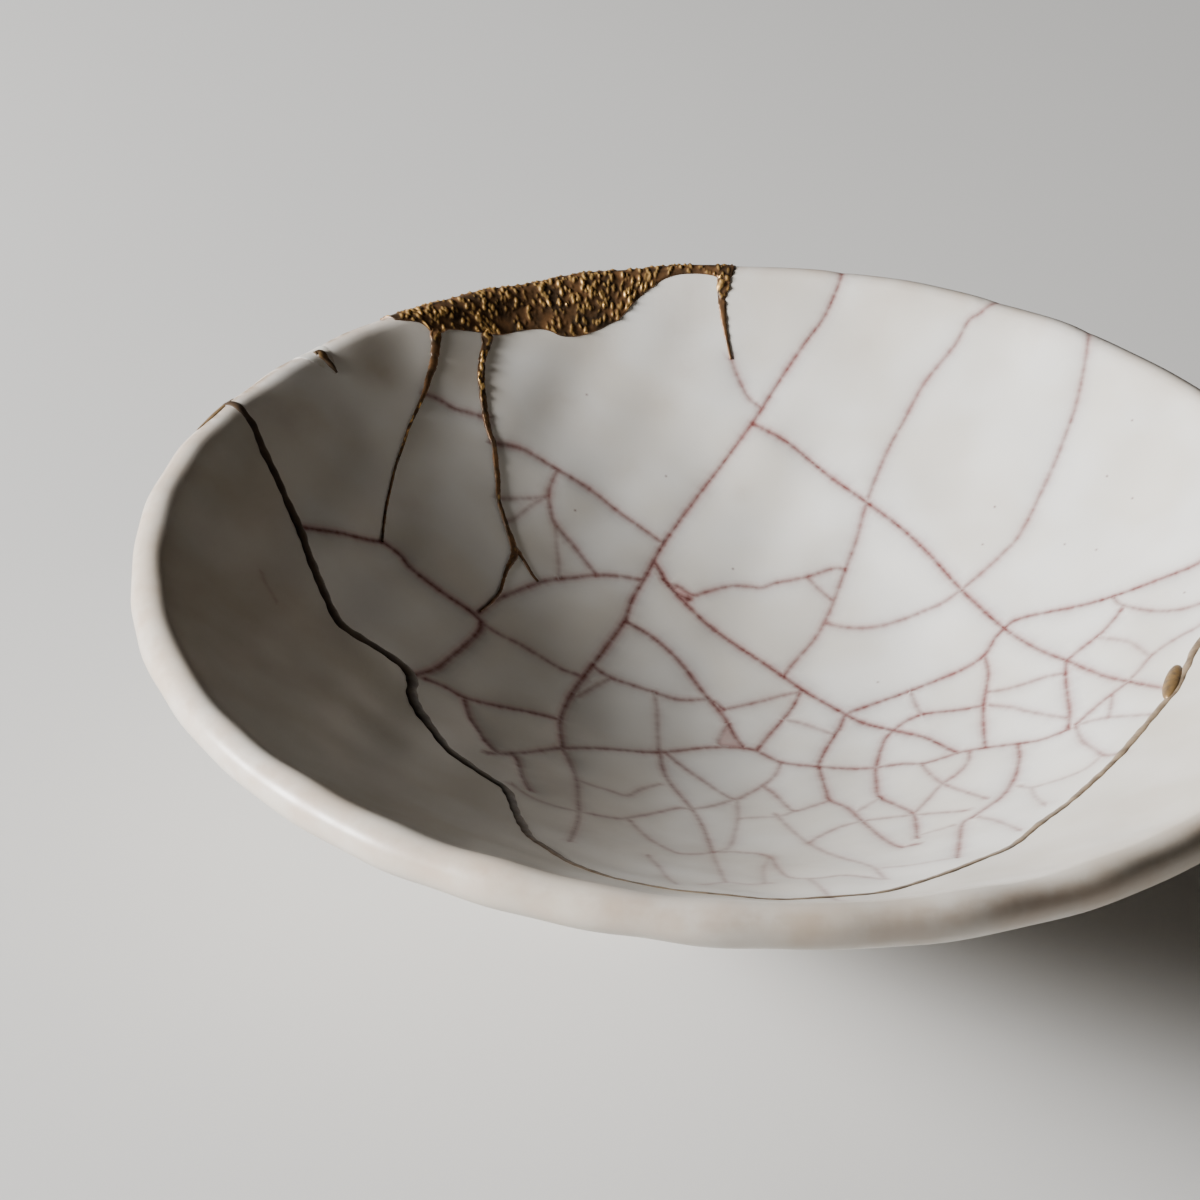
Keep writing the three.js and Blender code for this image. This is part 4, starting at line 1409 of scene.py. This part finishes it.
def run_form(traced, seed):
    """A tapering run of lacquer down the wall, a low ridge that is beaded where it is gilded.
    It is traced as photo pixels, each with how wide the run is and how much gold it holds."""
    traced = np.array(traced)
    line = smooth(np.column_stack([seen_on_glaze(traced[:, :2]), traced[:, 2:]]), RUN_STEP)
    angle, length = unflat(line)
    gilt = np.clip(line[:, 3], 0, 1)
    rng = np.random.default_rng(seed)
    rough = np.convolve(rng.normal(size=len(line) + 2), GRAIN_ACROSS, "valid")
    rough = 1 + RUN_ROUGHNESS * rough
    width = line[:, 2] * rough
    least, per_width, most = RUN_HEIGHT
    height = np.minimum(least + per_width * width, most) * rough
    height = height * np.clip(width / THIN_RUN, THIN_RUN_LEAST, 1)
    turn = np.linspace(-math.pi / 2, math.pi / 2, RUN_POINTS)
    crown = np.cos(turn) ** RUN_CROWN
    grain = rng.normal(size=(len(line) + 4, RUN_POINTS + 2))
    grain = sum(share * grain[at:at + len(line)] for at, share in enumerate(GRAIN_ALONG))
    grain = sum(share * grain[:, at:at + RUN_POINTS] for at, share in enumerate(GRAIN_ACROSS))
    grain = grain / grain.std() * crown
    crown[[0, -1]] = RUN_SUNK
    loops = bead(angle, length, width / 2, height, list(zip(np.sin(turn), crown)))
    crown[[0, -1]] = 0.0
    up = skin(angle, length, 1.0) - skin(angle, length)
    lift = np.clip(grain, *GRAIN_LIMITS) * (GRAIN_HEIGHT * gilt)[:, None]
    loops = loops + up[:, None] * lift[:, :, None]
    # Bright gold along the crown of a gilded run: partly gold dust, partly painted highlight.
    crest = gilt[:, None] * crown * (GRAIN_CREST[0] + GRAIN_CREST[1] * grain)
    return closed_form(loops), np.clip(crest, 0, 1).ravel()


fill_parts = [fill_form(), run_form(RUN_A, 1), run_form(RUN_B, 2), run_form(RUN_B_SIDE, 3),
              run_form(RUN_C, 4)]
BRONZE_DARK = (0.055, 0.033, 0.018)
BRONZE_MID = (0.20, 0.100, 0.042)
GOLD_BRIGHT = (1.0, 0.60, 0.20)


def gold_lacquer():
    """Bronze-brown lacquer with bright gold at the crests of its wrinkles: partly the gold dust
    that caught there, partly a painted highlight for the glints the crests catch.
    """
    material, tree, surface = new_material("gold_lacquer")
    crest = attribute(tree, "crest")
    colour = blended(tree, ranged(tree, noise(tree, 1.8), 0.35, 0.65), BRONZE_DARK, BRONZE_MID)
    # Painted highlight in part: the crests are coloured bright gold, both for gold dust and for
    # the glints they catch.
    gold_and_glint = times(tree, ranged(tree, crest, 0.2, 0.55),
                   ranged(tree, noise(tree, 0.6), 0.3, 0.6, 0.6, 1.0))
    colour = blended(tree, gold_and_glint, colour, GOLD_BRIGHT)
    tree.links.new(colour, surface.inputs["Base Color"])
    tree.links.new(ranged(tree, crest, 0.0, 0.5, 0.35, 0.75), surface.inputs["Metallic"])
    rough = ranged(tree, noise(tree, 0.5), 0.3, 0.7, 0.32, 0.48)
    tree.links.new(rough, surface.inputs["Roughness"])
    tree.links.new(bumped(tree, noise(tree, 0.25, 2.0), 0.02, 0.5), surface.inputs["Normal"])
    return material


places, faces = joined([part for part, _ in fill_parts])
crest = np.concatenate([numbers for _, numbers in fill_parts])
fill = piece_from("fill_gilded", places, faces, {"crest": crest}, gold_lacquer(), 75)
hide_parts("rim_fill")


# The small chip: a second, tiny loss in the rim, filled flush with pale lacquer and edged on
# its left with a hooked dab of brown-gold lacquer.
HOOK = [(315, 354, 0.7, 0.1), (319, 353, 1.0, 0.15), (323, 356, 1.0, 0.1),
        (327, 361, 0.75, 0.1), (331, 366, 0.6, 0.05), (337, 373, 0.3, 0.0)]
PLUG_DEPTH = 0.9
PLUG_OVERLAP = (0.1, 0.004)
PLUG_SWELL = 0.05
PLUG_COLUMNS = 40
PLUG_ROWS = 28
PLUG_PALE = (0.72, 0.70, 0.65)
PLUG_TAN = (0.58, 0.53, 0.45)


def plug_form():
    """The plug that fills the small chip, flat across its face."""
    past_ends, past_edge = PLUG_OVERLAP
    column = np.linspace(small_chip[0, 0] - past_ends, small_chip[-1, 0] + past_ends,
                         PLUG_COLUMNS)
    share = np.interp(column, small_chip[:, 0], small_chip[:, 1]) - past_edge
    lower = inside_length(share)
    upper = outside_length(share)
    part = np.linspace(0, 1, PLUG_ROWS)
    length = lower[:, None] + (upper - lower)[:, None] * part
    angle = np.repeat(column[:, None], len(part), axis=1)
    places = skin(angle, length, PLUG_SWELL * np.sin(math.pi * part) + 0 * length)
    back = np.stack([skin(column, upper, -PLUG_DEPTH), skin(column, lower, -PLUG_DEPTH)], axis=1)
    return closed_form(np.concatenate([places, back], axis=1))


def chip_lacquer():
    """Pale tan lacquer, satin like the glaze, under a brown hook with a little gold on it."""
    material, tree, surface = new_material("chip_lacquer")
    colour = blended(tree, ranged(tree, noise(tree, 0.9), 0.35, 0.65), PLUG_PALE, PLUG_TAN)
    hook = attribute(tree, "hook")
    colour = blended(tree, hook, colour, BRONZE_DARK)
    crest = attribute(tree, "crest")
    colour = blended(tree, crest, colour, GOLD_BRIGHT)
    tree.links.new(colour, surface.inputs["Base Color"])
    tree.links.new(crest, surface.inputs["Metallic"])
    rough = ranged(tree, noise(tree, 0.8), 0.3, 0.7, 0.3, 0.45)
    tree.links.new(rough, surface.inputs["Roughness"])
    tree.links.new(bumped(tree, noise(tree, 0.4, 2.0), 0.02, 0.5), surface.inputs["Normal"])
    return material


plug = plug_form()
hook, hook_crest = run_form(HOOK, 6)
places, faces = joined([plug, hook])
hooked = np.arange(len(places)) >= len(plug[0])
crest = np.concatenate([np.zeros(len(plug[0])), hook_crest])
dab = piece_from("chip_dabbed", places, faces, {"crest": crest, "hook": hooked},
                 chip_lacquer(), 60)
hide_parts("chip_dab")


# The floor is a plain pale sheet, and the light a big soft one low at the left.
FLOOR_GREY = (0.62, 0.61, 0.59)
FLOOR_CLOUD = tuple(0.95 * part for part in FLOOR_GREY)
FLOOR_REACH = 3
WINDOW_PLACE = (-0.83, -0.16, 0.34)
WINDOW_AIM = (0.02, 0.0, 0.02)
WINDOW_SIZE = (0.40, 0.23)
WINDOW_POWER = 32.0
ROOM_COLOUR = (0.95, 0.84, 0.72)
ROOM_STRENGTH = 0.024
floor_mesh = bpy.data.meshes.new("floor")
floor_mesh.from_pydata([(FLOOR_REACH * x, FLOOR_REACH * y, 0)
                        for x, y in ((-1, -1), (1, -1), (1, 1), (-1, 1))], [], [(0, 1, 2, 3)])
floor = bpy.data.objects.new("floor", floor_mesh)
bpy.context.scene.collection.objects.link(floor)
floor_material, tree, surface = new_material("floor")
tint = blended(tree, noise(tree, 60.0), FLOOR_GREY, FLOOR_CLOUD)
tree.links.new(tint, surface.inputs["Base Color"])
surface.inputs["Roughness"].default_value = 0.8
floor_mesh.materials.append(floor_material)


def soft_light(name, place, aim, size, power):
    lamp = bpy.data.lights.new(name, "AREA")
    lamp.shape = "RECTANGLE"
    lamp.size = size[0]
    lamp.size_y = size[1]
    lamp.energy = power
    made = bpy.data.objects.new(name, lamp)
    made.location = place
    made.rotation_euler = (Vector(aim) - Vector(place)).to_track_quat("-Z", "Y").to_euler()
    bpy.context.scene.collection.objects.link(made)
    return made


soft_light("window_light", WINDOW_PLACE, WINDOW_AIM, WINDOW_SIZE, WINDOW_POWER)
world = bpy.data.worlds.new("room")
bpy.context.scene.world = world
world.use_nodes = True
room = world.node_tree.nodes["Background"]
room.inputs["Color"].default_value = (*ROOM_COLOUR, 1)
room.inputs["Strength"].default_value = ROOM_STRENGTH
